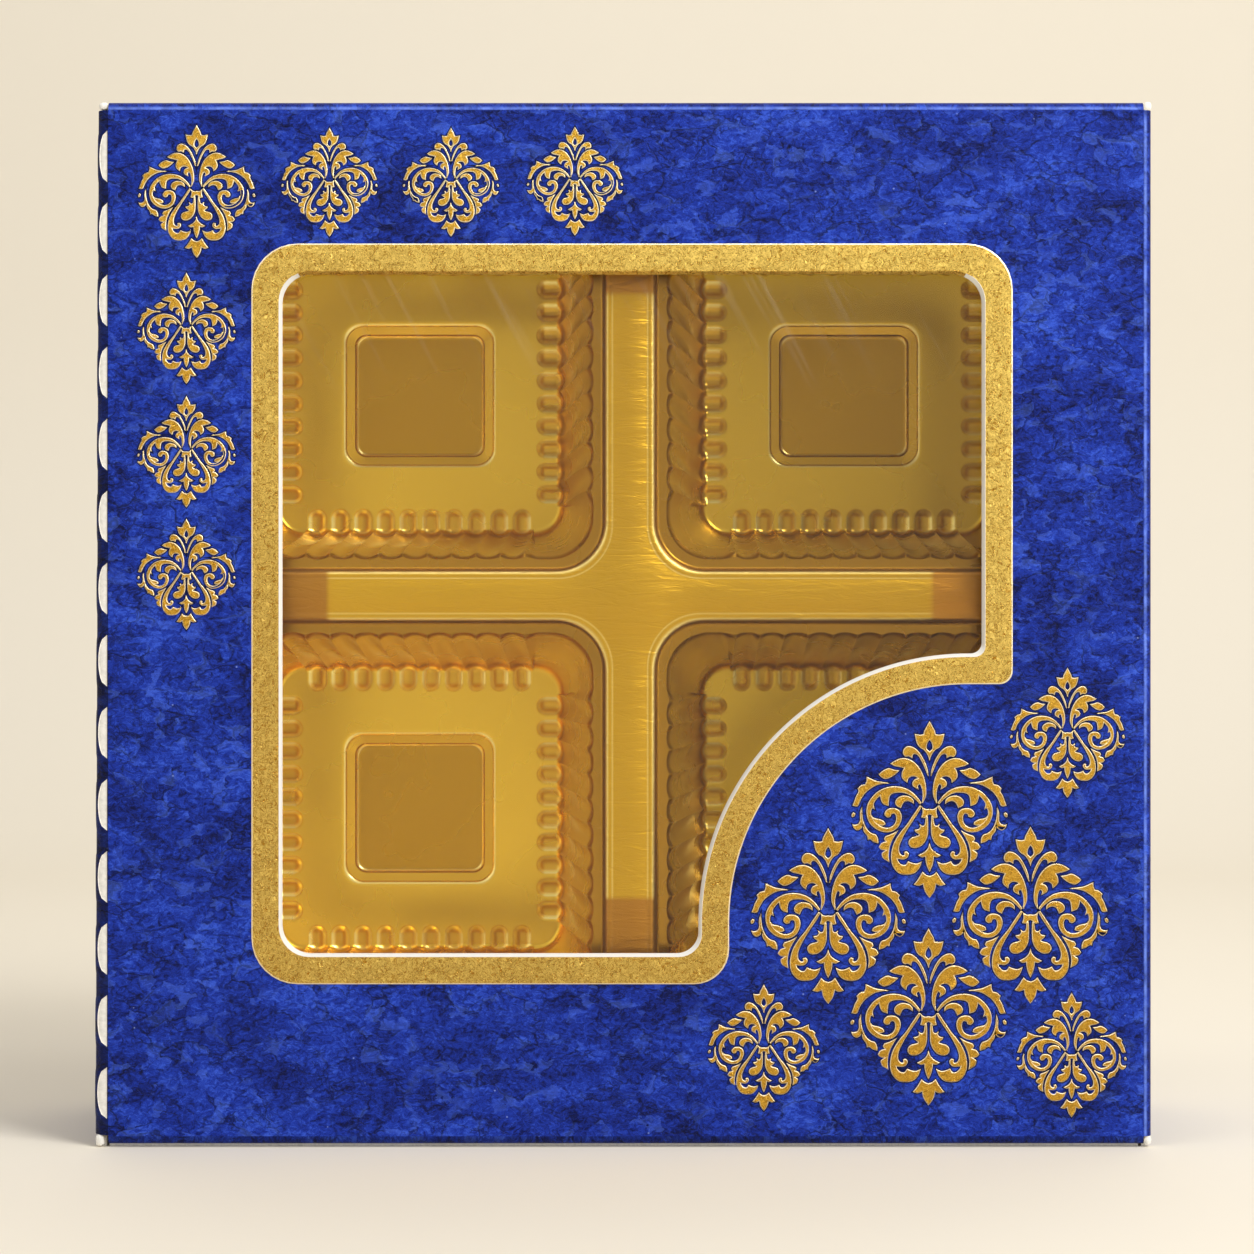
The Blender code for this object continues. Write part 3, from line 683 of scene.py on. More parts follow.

# %% [markdown]
# ## The cut crease
#
# Down the left side the crease is cut through in a row of slits. Bent round, each slit gapes into a
# lens and shows the white of the board. Between one lens and the next the print is painted darker,
# as painted shade where the crease curves away. Texture could paint the lenses white, but they catch
# the light as real cuts. The strip is a grid whose columns spread apart at each slit. The faces
# between them are left out, and a white bed is sunk there.

# %% Crease strip
SLIT_FIRST = 2.8 * MM
SLIT_PITCH = 7.0 * MM
SLIT_LENGTH = 5.0 * MM
SLIT_COUNT = 14
SLIT_ROWS = 12
CREASE_BOTTOM = 1.2 * MM
CREASE_RADIUS = 1.1 * MM
CREASE_SWELL = 0.35 * MM
CREASE_TAIL = 1.3 * MM
SPINE_FACE = -50.82 * MM
LENS_BULGE = 0.12 * MM
LENS_WIDTH = 0.46
LENS_RIGHT = 0.95
LENS_COLUMNS = 5
BEFORE_LENS = 6
LENS_SUNK = 0.1 * MM
LENS_ROUNDNESS = 0.42

crease_rows = [CREASE_BOTTOM]
for slit in range(SLIT_COUNT):
    slit_start = SLIT_FIRST + slit * SLIT_PITCH
    crease_rows += [slit_start + SLIT_LENGTH * row / SLIT_ROWS for row in range(SLIT_ROWS + 1)]
crease_rows.append(FACE_TOP)


def lens_share(height):
    """How far the slit gapes at this height: 0 between slits and up to 1 in the middle of one."""
    place = (height - SLIT_FIRST) % SLIT_PITCH / SLIT_LENGTH
    inside = 0 < place < 1 and SLIT_FIRST < height < SLIT_FIRST + SLIT_COUNT * SLIT_PITCH
    return math.sin(math.pi * place) ** LENS_ROUNDNESS if inside else 0.0


def crease_size(height):
    """The crease is a little rounder towards the bottom, where the lid stands off."""
    return CREASE_RADIUS + CREASE_SWELL * (1 - height / FACE_TOP)


def crease_point(share, height):
    """A point on the crease: below 0 it lies back along the spine, from 0 to 1 it turns to the lid's face."""
    size = crease_size(height)
    if share < 0:
        side = FACE_LEFT - size
        back = (SPINE_FACE - side) * smooth_step(-share, 0, 1)
        return (side + back, FACE + size - share * CREASE_TAIL, height)
    turn = share * QUARTER
    radius = size + LENS_BULGE * lens_share(height) * math.sin(math.pi * min(1, share * 1.2))
    return (FACE_LEFT - radius * math.cos(turn), FACE + size - radius * math.sin(turn), height)


def crease_row(height, shares, sunk=0.0):
    """One level of the strip, or of a lens when it is sunk: its points with their places on the sheet."""
    row = []
    for share in shares:
        x, y, z = crease_point(share, height)
        inward = Vector((FACE_LEFT - x, FACE + crease_size(height) - y, 0)).normalized() * sunk
        flat_place = (FACE_LEFT - (1 - share) * CREASE_RADIUS * QUARTER, height, 0)
        row.append(((x + inward.x, y + inward.y, z), flat_place))
    return row


def gape_shares(height):
    """Where one row's points lie on the crease: up to the gape, across it, and at the lid's face."""
    gape = max(lens_share(height) * LENS_WIDTH, 0.01)
    left = LENS_RIGHT - gape
    across = [left + gape * step / LENS_COLUMNS for step in range(1, LENS_COLUMNS + 1)]
    return [-1, -0.66, -0.33, 0, left * 0.35, left * 0.7, left, *across, 1.0]


def add_grid(strip, layer, rows, skip=lambda row, column: False):
    """Skin rows of points and return the points as they stand in the mesh."""
    made = [[strip.verts.new(point) for point, _ in row] for row in rows]
    for corners, row in zip(made, rows):
        for corner, (_, flat_place) in zip(corners, row):
            corner[layer] = flat_place
    for row, (low, high) in enumerate(zip(made, made[1:])):
        for column in range(len(low) - 1):
            if not skip(row, column):
                strip.faces.new((low[column], low[column + 1], high[column + 1], high[column]))
    return made


def make_crease():
    strip = bmesh.new()
    layer = strip.verts.layers.float_vector.new(SHEET_PLACE)
    slits = [lens_share((start + end) / 2) > 0 for start, end in zip(crease_rows, crease_rows[1:])]
    rows = [crease_row(height, gape_shares(height)) for height in crease_rows]

    def gapes(row, column):
        return slits[row] and 0 <= column - BEFORE_LENS < LENS_COLUMNS

    surface = add_grid(strip, layer, rows, gapes)
    printed = len(strip.faces)
    for slit in range(SLIT_COUNT):
        first = 1 + slit * (SLIT_ROWS + 1)
        levels = range(first, first + SLIT_ROWS + 1)
        heights = [crease_rows[level] for level in levels]
        sunk = [crease_row(height, gape_shares(height)[BEFORE_LENS:-1], LENS_SUNK) for height in heights]
        bed = add_grid(strip, layer, sunk)
        rim = [surface[level][BEFORE_LENS:-1] for level in levels]
        for low in range(SLIT_ROWS):
            for side, order in ((0, 1), (LENS_COLUMNS, -1)):
                corners = [rim[low][side], bed[low][side], bed[low + 1][side], rim[low + 1][side]]
                strip.faces.new(corners[::order])
    strip.faces.ensure_lookup_table()
    for face in strip.faces[printed:]:
        face.material_index = 1
    piece = add_piece("cut_crease", mesh_from(strip, "cut_crease"), [shaded_crease_print, cut_edge])
    return finish_mesh(piece, 50)


cut_crease = make_crease()
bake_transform(cut_crease)
print("crease strip:", len(cut_crease.data.polygons), "faces")

# %% [markdown]
# ## The raw corners
#
# At its four front corners the folds meet, the print has split and a nub of white board shows. It is
# only a millimetre wide, but it catches the eye. A painted dot would look flat, so each nub is a
# small ball, pressed to the corner's shape and roughened by moving its points.

# %% Raw corners
NUB = 0.5 * MM
NUB_DEPTH = FACE + 0.62 * MM
CORNER_NUBS = [
    ("raw_corner_top_left", "base", -50.63, 101.22, 0.87, 0.75),
    ("raw_corner_bottom_left", "base", -50.95, 0.68, 0.9, 1.15),
    ("raw_corner_top_right", "lid", 50.93, 101.22, 0.8, 0.85),
    ("raw_corner_bottom_right", "lid", 50.95, 0.66, 0.72, 0.95),
]


def add_nub(name, body, across, up, wide, tall):
    ball = bmesh.new()
    bmesh.ops.create_icosphere(ball, subdivisions=4, radius=NUB)
    layer = ball.verts.layers.float_vector.new(SHEET_PLACE)
    for vertex in ball.verts:
        x, y, z = vertex.co / NUB
        tear = 1 + 0.09 * math.sin(9 * x + 5 * z) * math.cos(7 * z - 4 * y) + 0.05 * math.sin(17 * z + 11 * x)
        squared = max(abs(x), abs(y), abs(z)) ** -0.35
        torn = NUB * tear * squared
        vertex.co = (x * torn * wide, y * NUB * 0.9 * squared, z * torn * tall)
        vertex.co += Vector((across * MM, NUB_DEPTH, up * MM))
        vertex[layer] = vertex.co
    nub = add_piece(name, mesh_from(ball, name), [cut_edge])
    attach(finish_mesh(nub, 60), body)


for nub_values in CORNER_NUBS:
    add_nub(*nub_values)
print("raw corners:", len(CORNER_NUBS))

# %% [markdown]
# ## The foil border and the cut edge of the window
#
# Round the window runs a band of gold foil, pressed up a tenth of a millimetre. The foil is finely
# crinkled, like hammered leaf, and painted darker towards the lower left, as painted shade. Its outer
# bevel carries a thin pale line, a painted highlight. Inside it the knife has left a slanted white
# edge, which along the top is painted gold, as painted shade and a painted reflection of the gold.
# Both are drawn as rings of the grown window outline, so they follow the scoop exactly. The crinkle
# is left to the finish.

# %% Foil finish
WORLD_PLACE = "world_place"


def make_foil(name, colour, bright, depth):
    finish = Finish(name, colour, 0.3, 1.0)
    place = finish.place(WORLD_PLACE)
    bent = place.warped(0.8, 1.5, 4.0)
    creases = ridge(bent, 1.25, 0.05, 3.2, 2.0).math("MAXIMUM", ridge(bent, 2.1, 0.06, 2.6, 2.0))
    squiggles = bent.noise(1.4, 3.0, 0.55, 2.4)
    face = (squiggles * 0.62 + creases * 0.42).ramp([(0.24, colour), (0.56, bright)])
    across, _, up = finish.parts("XYZ", place)
    # Painted shade: darker towards the lower left, on the border and the ornament alike.
    away = (up * 0.7 + across * 0.35).spread(66.0, 24.0, 0.0, 0.34)
    finish.set("Base Color", away.blend(face, dimmed(colour, 0.72, 0.55, 0.4)))
    finish.set("Roughness", squiggles.spread(0.35, 0.65, 0.24, 0.44))
    finish.set("Normal", (squiggles * 0.6 + creases * 0.4).relief(depth, 0.9))
    return finish.material


border_foil = make_foil("border_foil", shade(176, 124, 30), shade(255, 222, 118), 0.15 * MM)
# A pale gold line, a painted highlight for the bevels of the border and the ornament.
painted_edge_highlight = make_foil("painted_edge_highlight", shade(252, 236, 190), shade(255, 248, 222), 0.02 * MM)
print("finish:", border_foil.name, painted_edge_highlight.name)

# %% Rings round the window


def keep_place(mesh):
    """Store each point's place, so that a finish stays put when its piece moves."""
    layer = mesh.attributes.new(WORLD_PLACE, "FLOAT_VECTOR", "POINT")
    layer.data.foreach_set("vector", [value for vertex in mesh.vertices for value in vertex.co])
    return mesh


def add_trim(name, shape, finishes, sharp):
    """A piece that lies on the lid and moves with it."""
    piece = add_piece(name, keep_place(mesh_from(shape, name)), finishes)
    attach(finish_mesh(piece, sharp), "lid")
    return piece


def window_ring(name, profile, finishes, finish_of_band):
    """A closed ring. Its profile is in millimetres: outwards from the window, and above the face."""
    ring = bmesh.new()
    loops = []
    for grow, height in profile:
        loops.append([ring.verts.new((x, FACE - height * MM, z)) for x, z in window_outline(grow * MM)])
    for chosen, inner, outer in zip(finish_of_band, loops, loops[1:] + loops[:1]):
        for face in skin(ring, inner, outer):
            face.material_index = chosen
    bmesh.ops.recalc_face_normals(ring, faces=ring.faces)
    return add_trim(name, ring, finishes, 40)


EMBOSS = 0.1
PAINTED_GOLD_TOP = 0.5 * MM
border_profile = [
    (0.32, -0.05), (0.32, 0.05), (0.4, EMBOSS), (1.2, EMBOSS),
    (2.0, EMBOSS), (2.86, EMBOSS), (2.97, 0.04), (3.0, -0.05),
]
# The two bands of the outer bevel take the pale line, a painted highlight.
foil_border = window_ring("foil_border", border_profile, [border_foil, painted_edge_highlight], [0, 0, 0, 0, 0, 1, 1, 0])
edge_profile = [(0.0, -0.4), (0.0, -0.34), (0.3, 0.06), (0.4, 0.06), (0.4, -0.4)]
window_edge = window_ring("window_edge", edge_profile, [cut_edge, border_foil], [0] * 5)
# Along the top, the cut edge is painted gold, as painted shade and a painted reflection of the gold.
edge_top = max(vertex.co.z for vertex in window_edge.data.vertices)
for polygon in window_edge.data.polygons:
    polygon.material_index = 1 if polygon.center.z > edge_top - PAINTED_GOLD_TOP else 0
print("border:", len(foil_border.data.polygons), "faces")

# %% [markdown]
# ## The damask ornament
#
# Fourteen gold ornaments are stamped round the window, all the same traditional damask spray of
# scrolls and leaves, in three sizes. A spray is mirrored left to right, so only its left half is
# drawn: each leaf or scroll is a closed outline whose smooth runs meet in sharp tips. Text or
# pictures could not give such clean edges at any size. Curves fill the outlines and bevel them
# softly, and the bevels carry a painted highlight. A dark navy sheet, a little larger than the gold,
# lies under each one as a painted shadow.

# %% Outlines of the spray
# Each outline is a list of smooth runs, and each run ends on the first point of the next one. A point
# is (left of the axis, above the middle), on a drawing where the whole spray is this wide.
DRAWING_WIDTH = 935.0
# These stand on the left of the axis. Their last run ends where the first one starts.
HALF_FORMS = {
    "upper_curl": [
        [(8, 198), (10, 235), (23, 275), (42, 315), (68, 352), (100, 376), (133, 381), (156, 362),
         (160, 335), (146, 318), (124, 319)],
        [(103, 307), (100, 328), (84, 333), (66, 320), (46, 285), (28, 245), (16, 215)],
    ],
    "great_leaf": [
        [(42, 35), (22, 80), (20, 130), (32, 190), (57, 245), (92, 285), (135, 307), (177, 307),
         (212, 292)],
        [(237, 275), (212, 262), (186, 256)],
        [(155, 248), (166, 225), (168, 198), (157, 178)],
        [(134, 160), (127, 185), (108, 198), (84, 197)],
        [(72, 188), (92, 180), (104, 160), (100, 140), (82, 128)],
        [(64, 118), (70, 140), (58, 150), (46, 120), (42, 80), (45, 50)],
    ],
    "small_leaf": [
        [(307, 210), (284, 232), (247, 249), (215, 240)],
        [(180, 235), (204, 212), (234, 192), (265, 183), (288, 192)],
    ],
    "outer_leaf": [
        [(232, 160), (285, 166), (322, 173), (352, 186)],
        [(379, 198), (380, 172)],
        [(388, 152), (412, 146)],
        [(434, 126), (428, 108), (442, 82), (452, 55)],
        [(464, 22), (438, 18)],
        [(426, 26), (412, 60), (386, 98), (352, 126), (306, 149)],
    ],
    "scroll": [
        [(47, 40), (85, 88), (135, 124), (197, 139), (257, 134), (312, 108), (352, 68), (376, 22),
         (379, -30), (362, -80), (327, -115), (282, -135), (232, -135), (192, -110), (171, -70),
         (168, -35), (182, -5), (212, 8), (247, 5), (268, -14), (270, -34), (254, -48)],
        [(234, -44), (228, -30), (212, -26), (202, -42), (204, -72), (222, -98), (257, -110), (297, -98),
         (330, -70), (350, -34)],
        [(351, -10), (344, 6)],
        [(328, -2), (335, 32), (318, 62)],
        [(298, 82), (292, 55), (278, 32)],
        [(246, 20), (244, 52), (236, 84), (208, 99), (158, 100), (116, 84), (82, 56)],
        [(57, 30)],
    ],
    "scroll_leaf": [
        [(352, -30), (335, -50), (300, -58), (272, -72)],
        [(265, -90), (286, -97), (316, -90), (342, -66)],
    ],
    "inner_curl": [
        [(94, 32), (97, 58), (120, 78), (160, 84), (192, 70), (207, 46), (199, 22)],
        [(172, 8), (164, 26), (152, 44), (130, 50), (108, 42)],
    ],
    "ribbon": [
        [(59, 25), (97, -30), (137, -90), (172, -132), (207, -185), (227, -240), (232, -300), (217, -350),
         (182, -385), (137, -393), (92, -384), (62, -355)],
        [(45, -312), (77, -325), (107, -320)],
        [(129, -310), (145, -332), (168, -330), (187, -312)],
        [(192, -298), (172, -300), (150, -300), (130, -286), (125, -266), (137, -252)],
        [(154, -256), (152, -274), (166, -274), (180, -258), (182, -228), (170, -190), (145, -140),
         (107, -80), (67, -20)],
        [(45, 20)],
    ],
    "hanging_leaf": [
        [(10, -40), (8, -100), (12, -160), (34, -205), (70, -230), (107, -230), (125, -210), (124, -186),
         (106, -168)],
        [(78, -160), (64, -152), (84, -136)],
        [(90, -122), (68, -118), (56, -102)],
        [(62, -86), (44, -98), (30, -90), (25, -60)],
        [(22, -38)],
    ],
    "hook_leaf": [
        [(407, 20), (419, -20), (419, -65), (430, -86), (452, -92)],
        [(465, -88), (456, -112), (436, -126), (412, -116)],
        [(402, -98), (396, -132), (376, -160)],
        [(371, -184), (356, -182), (336, -196)],
        [(308, -204), (309, -178), (322, -152), (348, -142), (372, -122), (392, -85), (403, -40)],
    ],
    "bead": [
        [(458, -16), (469, -30), (466, -46), (452, -42)],
        [(446, -24)],
    ],
    "lower_leaf": [
        [(187, -124), (226, -145)],
        [(266, -160), (274, -178)],
        [(264, -192), (290, -202)],
        [(306, -226), (291, -242)],
        [(266, -246), (288, -264), (280, -294), (262, -306)],
        [(241, -318), (245, -270), (237, -220), (220, -178)],
    ],
}
# These sit on the axis: the left side only, from top to bottom, and last the end point by itself.
AXIS_FORMS = {
    "bud": [
        [(0, 533), (18, 500), (32, 474)],
        [(37, 453), (58, 450)],
        [(90, 455), (84, 425), (75, 395), (58, 372)],
        [(37, 360), (20, 340), (7, 315)],
        [(0, 292)],
    ],
    "knot": [
        [(0, 4), (18, 2), (34, 8)],
        [(46, 20), (42, -14)],
        [(50, -48), (28, -52), (14, -38)],
        [(0, -30)],
    ],
    "fleur": [
        [(0, -197), (10, -230), (32, -255)],
        [(70, -276), (47, -288)],
        [(26, -285), (24, -310), (15, -345)],
        [(0, -377)],
    ],
    "drop": [
        [(0, -400), (22, -392)],
        [(42, -374), (58, -400), (74, -425)],
        [(96, -452), (66, -460)],
        [(40, -450), (32, -485), (17, -512)],
        [(0, -533)],
    ],
}
KEYHOLE = [[(0, 418), (13, 398), (17, 368)], [(0, 350)]]

# %% Smooth runs


def smooth_run(points, steps=4):
    """A curve through the points, bending smoothly at all but its two ends."""
    if len(points) < 3:
        return points[:-1]
    spots = [np.array(point, float) for point in points]
    spots = [2 * spots[0] - spots[1], *spots, 2 * spots[-1] - spots[-2]]
    curve = []
    for before, start, end, after in zip(spots, spots[1:], spots[2:], spots[3:]):
        bend = 2 * before - 5 * start + 4 * end - after
        twist = 3 * start - before - 3 * end + after
        for t in (step / steps for step in range(steps)):
            curve.append(0.5 * (2 * start + (end - before) * t + bend * t**2 + twist * t**3))
    return [(float(x), float(y)) for x, y in curve]


def smooth_outline(runs, following):
    """The points of an outline. Each run goes on to the point where the one that follows it starts."""
    return [point for run, after in zip(runs, following) for point in smooth_run([*run, after[0]])]


def whole_outline(runs):
    """The closed outline of a form on the axis, from its left side."""
    half = smooth_outline(runs, runs[1:]) + runs[-1]
    return [(-x, y) for x, y in half] + [(x, y) for x, y in half[-2:0:-1]]


def spray_forms():
    """The outlines of one spray on its drawing, form by form. The bud's keyhole is a hole in it."""
    forms = []
    for runs in HALF_FORMS.values():
        half = smooth_outline(runs, runs[1:] + runs[:1])
        forms.append([[(-x, y) for x, y in half]])
        forms.append([half])
    for name, runs in AXIS_FORMS.items():
        forms.append([whole_outline(runs)] + ([whole_outline(KEYHOLE)] if name == "bud" else []))
    return forms


# %% Stamp of the spray


def form_relief(outlines, scale, offset, bevel, height):
    """A filled relief of one form, lying flat with its face along +Z."""
    curve = bpy.data.curves.new("form", "CURVE")
    curve.dimensions = "2D"
    curve.fill_mode = "BOTH"
    curve.extrude = height / 2
    curve.bevel_depth = bevel
    curve.bevel_resolution = 0
    curve.offset = offset
    for outline in outlines:
        spline = curve.splines.new("POLY")
        spline.points.add(len(outline) - 1)
        for point, (x, y) in zip(spline.points, outline):
            point.co = (x * scale, y * scale, 0, 1)
        spline.use_cyclic_u = True
    drawing = bpy.data.objects.new("form", curve)
    STUDIO.objects.link(drawing)
    graph = bpy.context.evaluated_depsgraph_get()
    mesh = bpy.data.meshes.new_from_object(drawing.evaluated_get(graph))
    bpy.data.objects.remove(drawing, do_unlink=True)
    bpy.data.curves.remove(curve)
    return mesh


def spray_stamp(width, offset, bevel, height):
    """A relief of the whole spray, this wide. Each form is filled by itself, since some touch."""
    stamp = bmesh.new()
    for outlines in spray_forms():
        form = form_relief(outlines, width / DRAWING_WIDTH, offset, bevel, height)
        stamp.from_mesh(form)
        bpy.data.meshes.remove(form)
    return mesh_from(stamp, "stamp")


# Where each spray sits on the lid, in millimetres: its middle across and up, and its width.
SPRAYS = [
    (-41.5, 92.9, 11.35), (-28.6, 93.8, 9.3), (-16.8, 93.8, 9.3), (-4.75, 93.9, 9.3),
    (-42.5, 79.6, 9.5), (-42.5, 67.6, 9.5), (-42.5, 55.7, 9.5),
    (29.7, 32.85, 15.1), (19.85, 22.5, 15.0), (39.5, 22.6, 15.1), (29.6, 12.7, 15.1),
    (43.1, 40.3, 11.1), (13.6, 9.7, 10.8), (43.5, 9.0, 10.65),
]


def stamp_sprays(name, offset, bevel, height, lift, finishes):
    """Stamp every spray on the lid's face, joined in one piece."""
    joined = bmesh.new()
    upright = Matrix.Rotation(QUARTER, 4, "X")
    for across, up, width in SPRAYS:
        stamp = spray_stamp(width * MM, offset, bevel, height)
        stamp.transform(Matrix.Translation((across * MM, FACE - lift, up * MM)) @ upright)
        joined.from_mesh(stamp)
        bpy.data.meshes.remove(stamp)
    joined.normal_update()
    for face in joined.faces:
        # Faces that don't look straight out, the bevels, take the second finish: on the gold, a painted
        # highlight.
        face.material_index = 0 if face.normal.y < -0.9 or len(finishes) == 1 else 1
    return add_trim(name, joined, finishes, 25)


# %% Ornament
ornament_gold = make_foil("ornament_gold", shade(178, 130, 36), shade(224, 178, 70), 0.07 * MM)


def make_shadow_ink():
    finish = Finish("shadow_ink", shade(9, 14, 58), 0.5)
    bled = finish.place(WORLD_PLACE).warped(0.9, 1.2).noise(1.6, 5.0, 0.65)
    finish.set("Base Color", bled.ramp([(0.35, shade(4, 8, 40)), (0.65, shade(16, 26, 84))]))
    finish.set("Normal", bled.relief(0.03 * MM, 0.6))
    finish.set("Specular IOR Level", 0.12)
    return finish.material


# A dark navy sheet, a little larger than each form, laid under the gold as a painted shadow.
stamp_sprays("ornament_shadow", 0.1 * MM, 0, 0.008 * MM, 0.004 * MM, [make_shadow_ink()])
ornament_finishes = [ornament_gold, painted_edge_highlight]
ornament = stamp_sprays("damask_ornament", -0.085 * MM, 0.08 * MM, 0.03 * MM, 0.02 * MM, ornament_finishes)
print("ornament:", len(ornament.data.polygons), "faces")

# %% [markdown]
# ## The formed tray
#
# The tray is one thin gold sheet, drawn by vacuum over a tool with four square cavities. Each cavity
# has a rounded mouth, a ledge, four walls of ten flutes, and a floor on which every flute ends in a
# small round foot, with a sunk square pad in the middle. Booleans would struggle with so many soft
# shapes. Each cavity is built instead as a stack of rings with the same number of points, from the
# mouth inwards, and the flutes and feet are worked into the points of the rings.

# %% Tray sizes
TRAY_HALF = 48.3 * MM
TRAY_CORNER = 3.0 * MM
LIP_DEPTH = 3.0 * MM
TRAY_SHEET = 0.3 * MM
DECK = -12.625 * MM
CROSS = (0.6 * MM, 53.6 * MM)
CAVITY_OFFSET = 22.396 * MM
MOUTH_HALF = 19.995 * MM
MOUTH_RADIUS = 4.6 * MM
MOUTH_EDGE = 0.38 * MM
LEDGE_HALF = 18.7 * MM
LEDGE_RADIUS = 4.2 * MM
LEDGE_DEPTH = 1.2 * MM
LEDGE_EDGE = 0.35 * MM
FLOOR_HALF = 15.1 * MM
FLOOR_RADIUS = 3.0 * MM
FLOOR = 12.375 * MM
FLUTE_RUN = 12.0 * MM
FLUTES = 10
FLUTE_POINTS = 14
FLUTE_DEPTH = 0.45 * MM
RIDGE_SHARPNESS = 2.2
FOOT_REACH = 2.75 * MM
FOOT_HALF = 0.95 * MM
FOOT_SINK = 0.3 * MM
FOOT_ROUNDNESS = 1.15
FILLET = 0.8 * MM
WALL_LEAN = math.atan2(LEDGE_HALF - FLOOR_HALF, FLOOR - DECK - LEDGE_DEPTH)
FILLET_MIDDLE = FLOOR_HALF + FILLET * math.tan(WALL_LEAN) - FILLET / math.cos(WALL_LEAN)
FLOOR_SHIFT = 0.2 * MM
UPPER_SAG = -0.9 * MM
UPPER_PAD_SAG = -0.35 * MM
UPPER_PAD_HEIGHT = 0.945
PAD_HALF = 7.7 * MM
PAD_RADIUS = 1.6 * MM
PAD_RUN = 5.8 * MM
PAD_EDGE = 0.5 * MM
WELL_HALF = 6.55 * MM
WELL_RADIUS = 1.2 * MM
WELL_RUN = 4.9 * MM
PAD_DEPTH = 0.95 * MM
CORNER_POINTS = 14
SLACK_POINTS = 3
WALL_STEPS = 12
FILLET_STEPS = 10
FOOT_STEPS = 18

# %% Rings of a cavity


def side_points():
    """The places of the points along one side: a share of the fluted run, and the place in a flute."""
    count = FLUTES * FLUTE_POINTS
    return [(2 * index / count - 1, (index / FLUTE_POINTS) % 1.0) for index in range(count + 1)]


def cavity_ring(half, radius, run, push):
    """A ring of a cavity: points about its middle, each pushed outwards by its place in a flute."""
    straight = half - radius
    slack = []
    for step in range(1, SLACK_POINTS + 1):
        ease = push(0.0) * (1 - smooth_step(step, 0, 2))
        slack.append((half + ease, run + (straight - run) * step / (SLACK_POINTS + 1)))
    corner = slack + arc((straight, straight), radius, 0, QUARTER, CORNER_POINTS)
    corner += [(y, x) for x, y in reversed(slack)]
    side = [(half + push(place), share * run, place) for share, place in side_points()]
    side += [(x, y, None) for x, y in corner]
    points = []
    for turn in range(4):
        cosine, sine = round(math.cos(turn * QUARTER)), round(math.sin(turn * QUARTER))
        points += [(x * cosine - y * sine, x * sine + y * cosine, place) for x, y, place in side]
    return points


def ridge_share(place):
    """How much of a ridge stands here: 1 between two flutes and 0 in the middle of one."""
    return abs(2 * place - 1) ** RIDGE_SHARPNESS


def foot_share(place, past=0.0):
    """How deep a flute's foot is here, of its full depth, past the start of its round end."""
    across = (place - 0.5) * 2 * FLUTE_RUN / FLUTES
    reach = math.hypot(across, max(0.0, past)) / FOOT_HALF
    return max(0.0, 1 - reach**2) ** FOOT_ROUNDNESS


def soft_edge(count):
    """The stations of a rounded edge: how much is left of it one way, and how much is gone the other way."""
    turns = [QUARTER * step / (count - 1) for step in range(count)]
    return [(1 - math.sin(turn), 1 - math.cos(turn)) for turn in turns]


# %% Rings from the mouth to the middle


def mouth_rings(ring):
    """The bead round the mouth, the ledge, and the soft edges between."""
    run, ledge = FLUTE_RUN * 1.02, DECK + LEDGE_DEPTH
    for out, depth in ((0.9, -0.06), (0.7, 0.04), (0.52, 0.0)):
        ring(MOUTH_HALF + out * MM, MOUTH_RADIUS + out * MM, run, DECK + depth * MM)
    for left, gone in soft_edge(8):
        ring(MOUTH_HALF + MOUTH_EDGE * left, MOUTH_RADIUS + MOUTH_EDGE, run, DECK + MOUTH_EDGE * gone)
    for left, gone in soft_edge(6):
        inwards = LEDGE_EDGE * gone
        ring(MOUTH_HALF - 0.2 * MM - inwards, MOUTH_RADIUS - inwards, run, ledge - LEDGE_EDGE * left)
    ring(LEDGE_HALF + 0.45 * MM, LEDGE_RADIUS + 0.2 * MM, FLUTE_RUN, ledge)

    def started(place):
        return -0.55 * FLUTE_DEPTH * ridge_share(place)

    ring(LEDGE_HALF + 0.1 * MM, LEDGE_RADIUS, FLUTE_RUN, ledge, started)


def wall_rings(ring):
    """The fluted walls, and the fillet on which each flute turns into its foot."""
    top, bottom = DECK + LEDGE_DEPTH + 0.25 * MM, FLOOR - FILLET * (1 - math.sin(WALL_LEAN))
    for step in range(WALL_STEPS + 1):
        depth = top + (bottom - top) * step / WALL_STEPS
        half = FLOOR_HALF + (FLOOR - depth) * math.tan(WALL_LEAN)
        radius = LEDGE_RADIUS + (FLOOR_RADIUS - LEDGE_RADIUS) * (depth - top) / (FLOOR - top)
        ring(half, radius, FLUTE_RUN, depth, lambda place: -FLUTE_DEPTH * ridge_share(place))
    for step in range(1, FILLET_STEPS + 1):
        left = 1 - step / FILLET_STEPS
        turn = WALL_LEAN + (QUARTER - WALL_LEAN) * step / FILLET_STEPS
        cosine, sine = math.cos(turn), math.sin(turn)
        half = FILLET_MIDDLE + FILLET * cosine

        def dent(place):
            return FOOT_SINK * (1 - left) * foot_share(place) - FLUTE_DEPTH * left * ridge_share(place)

        ring(
            half, FLOOR_RADIUS - (FLOOR_HALF - half), FLUTE_RUN, FLOOR - FILLET * (1 - sine),
            lambda place: cosine * dent(place), lambda place: sine * dent(place),
        )


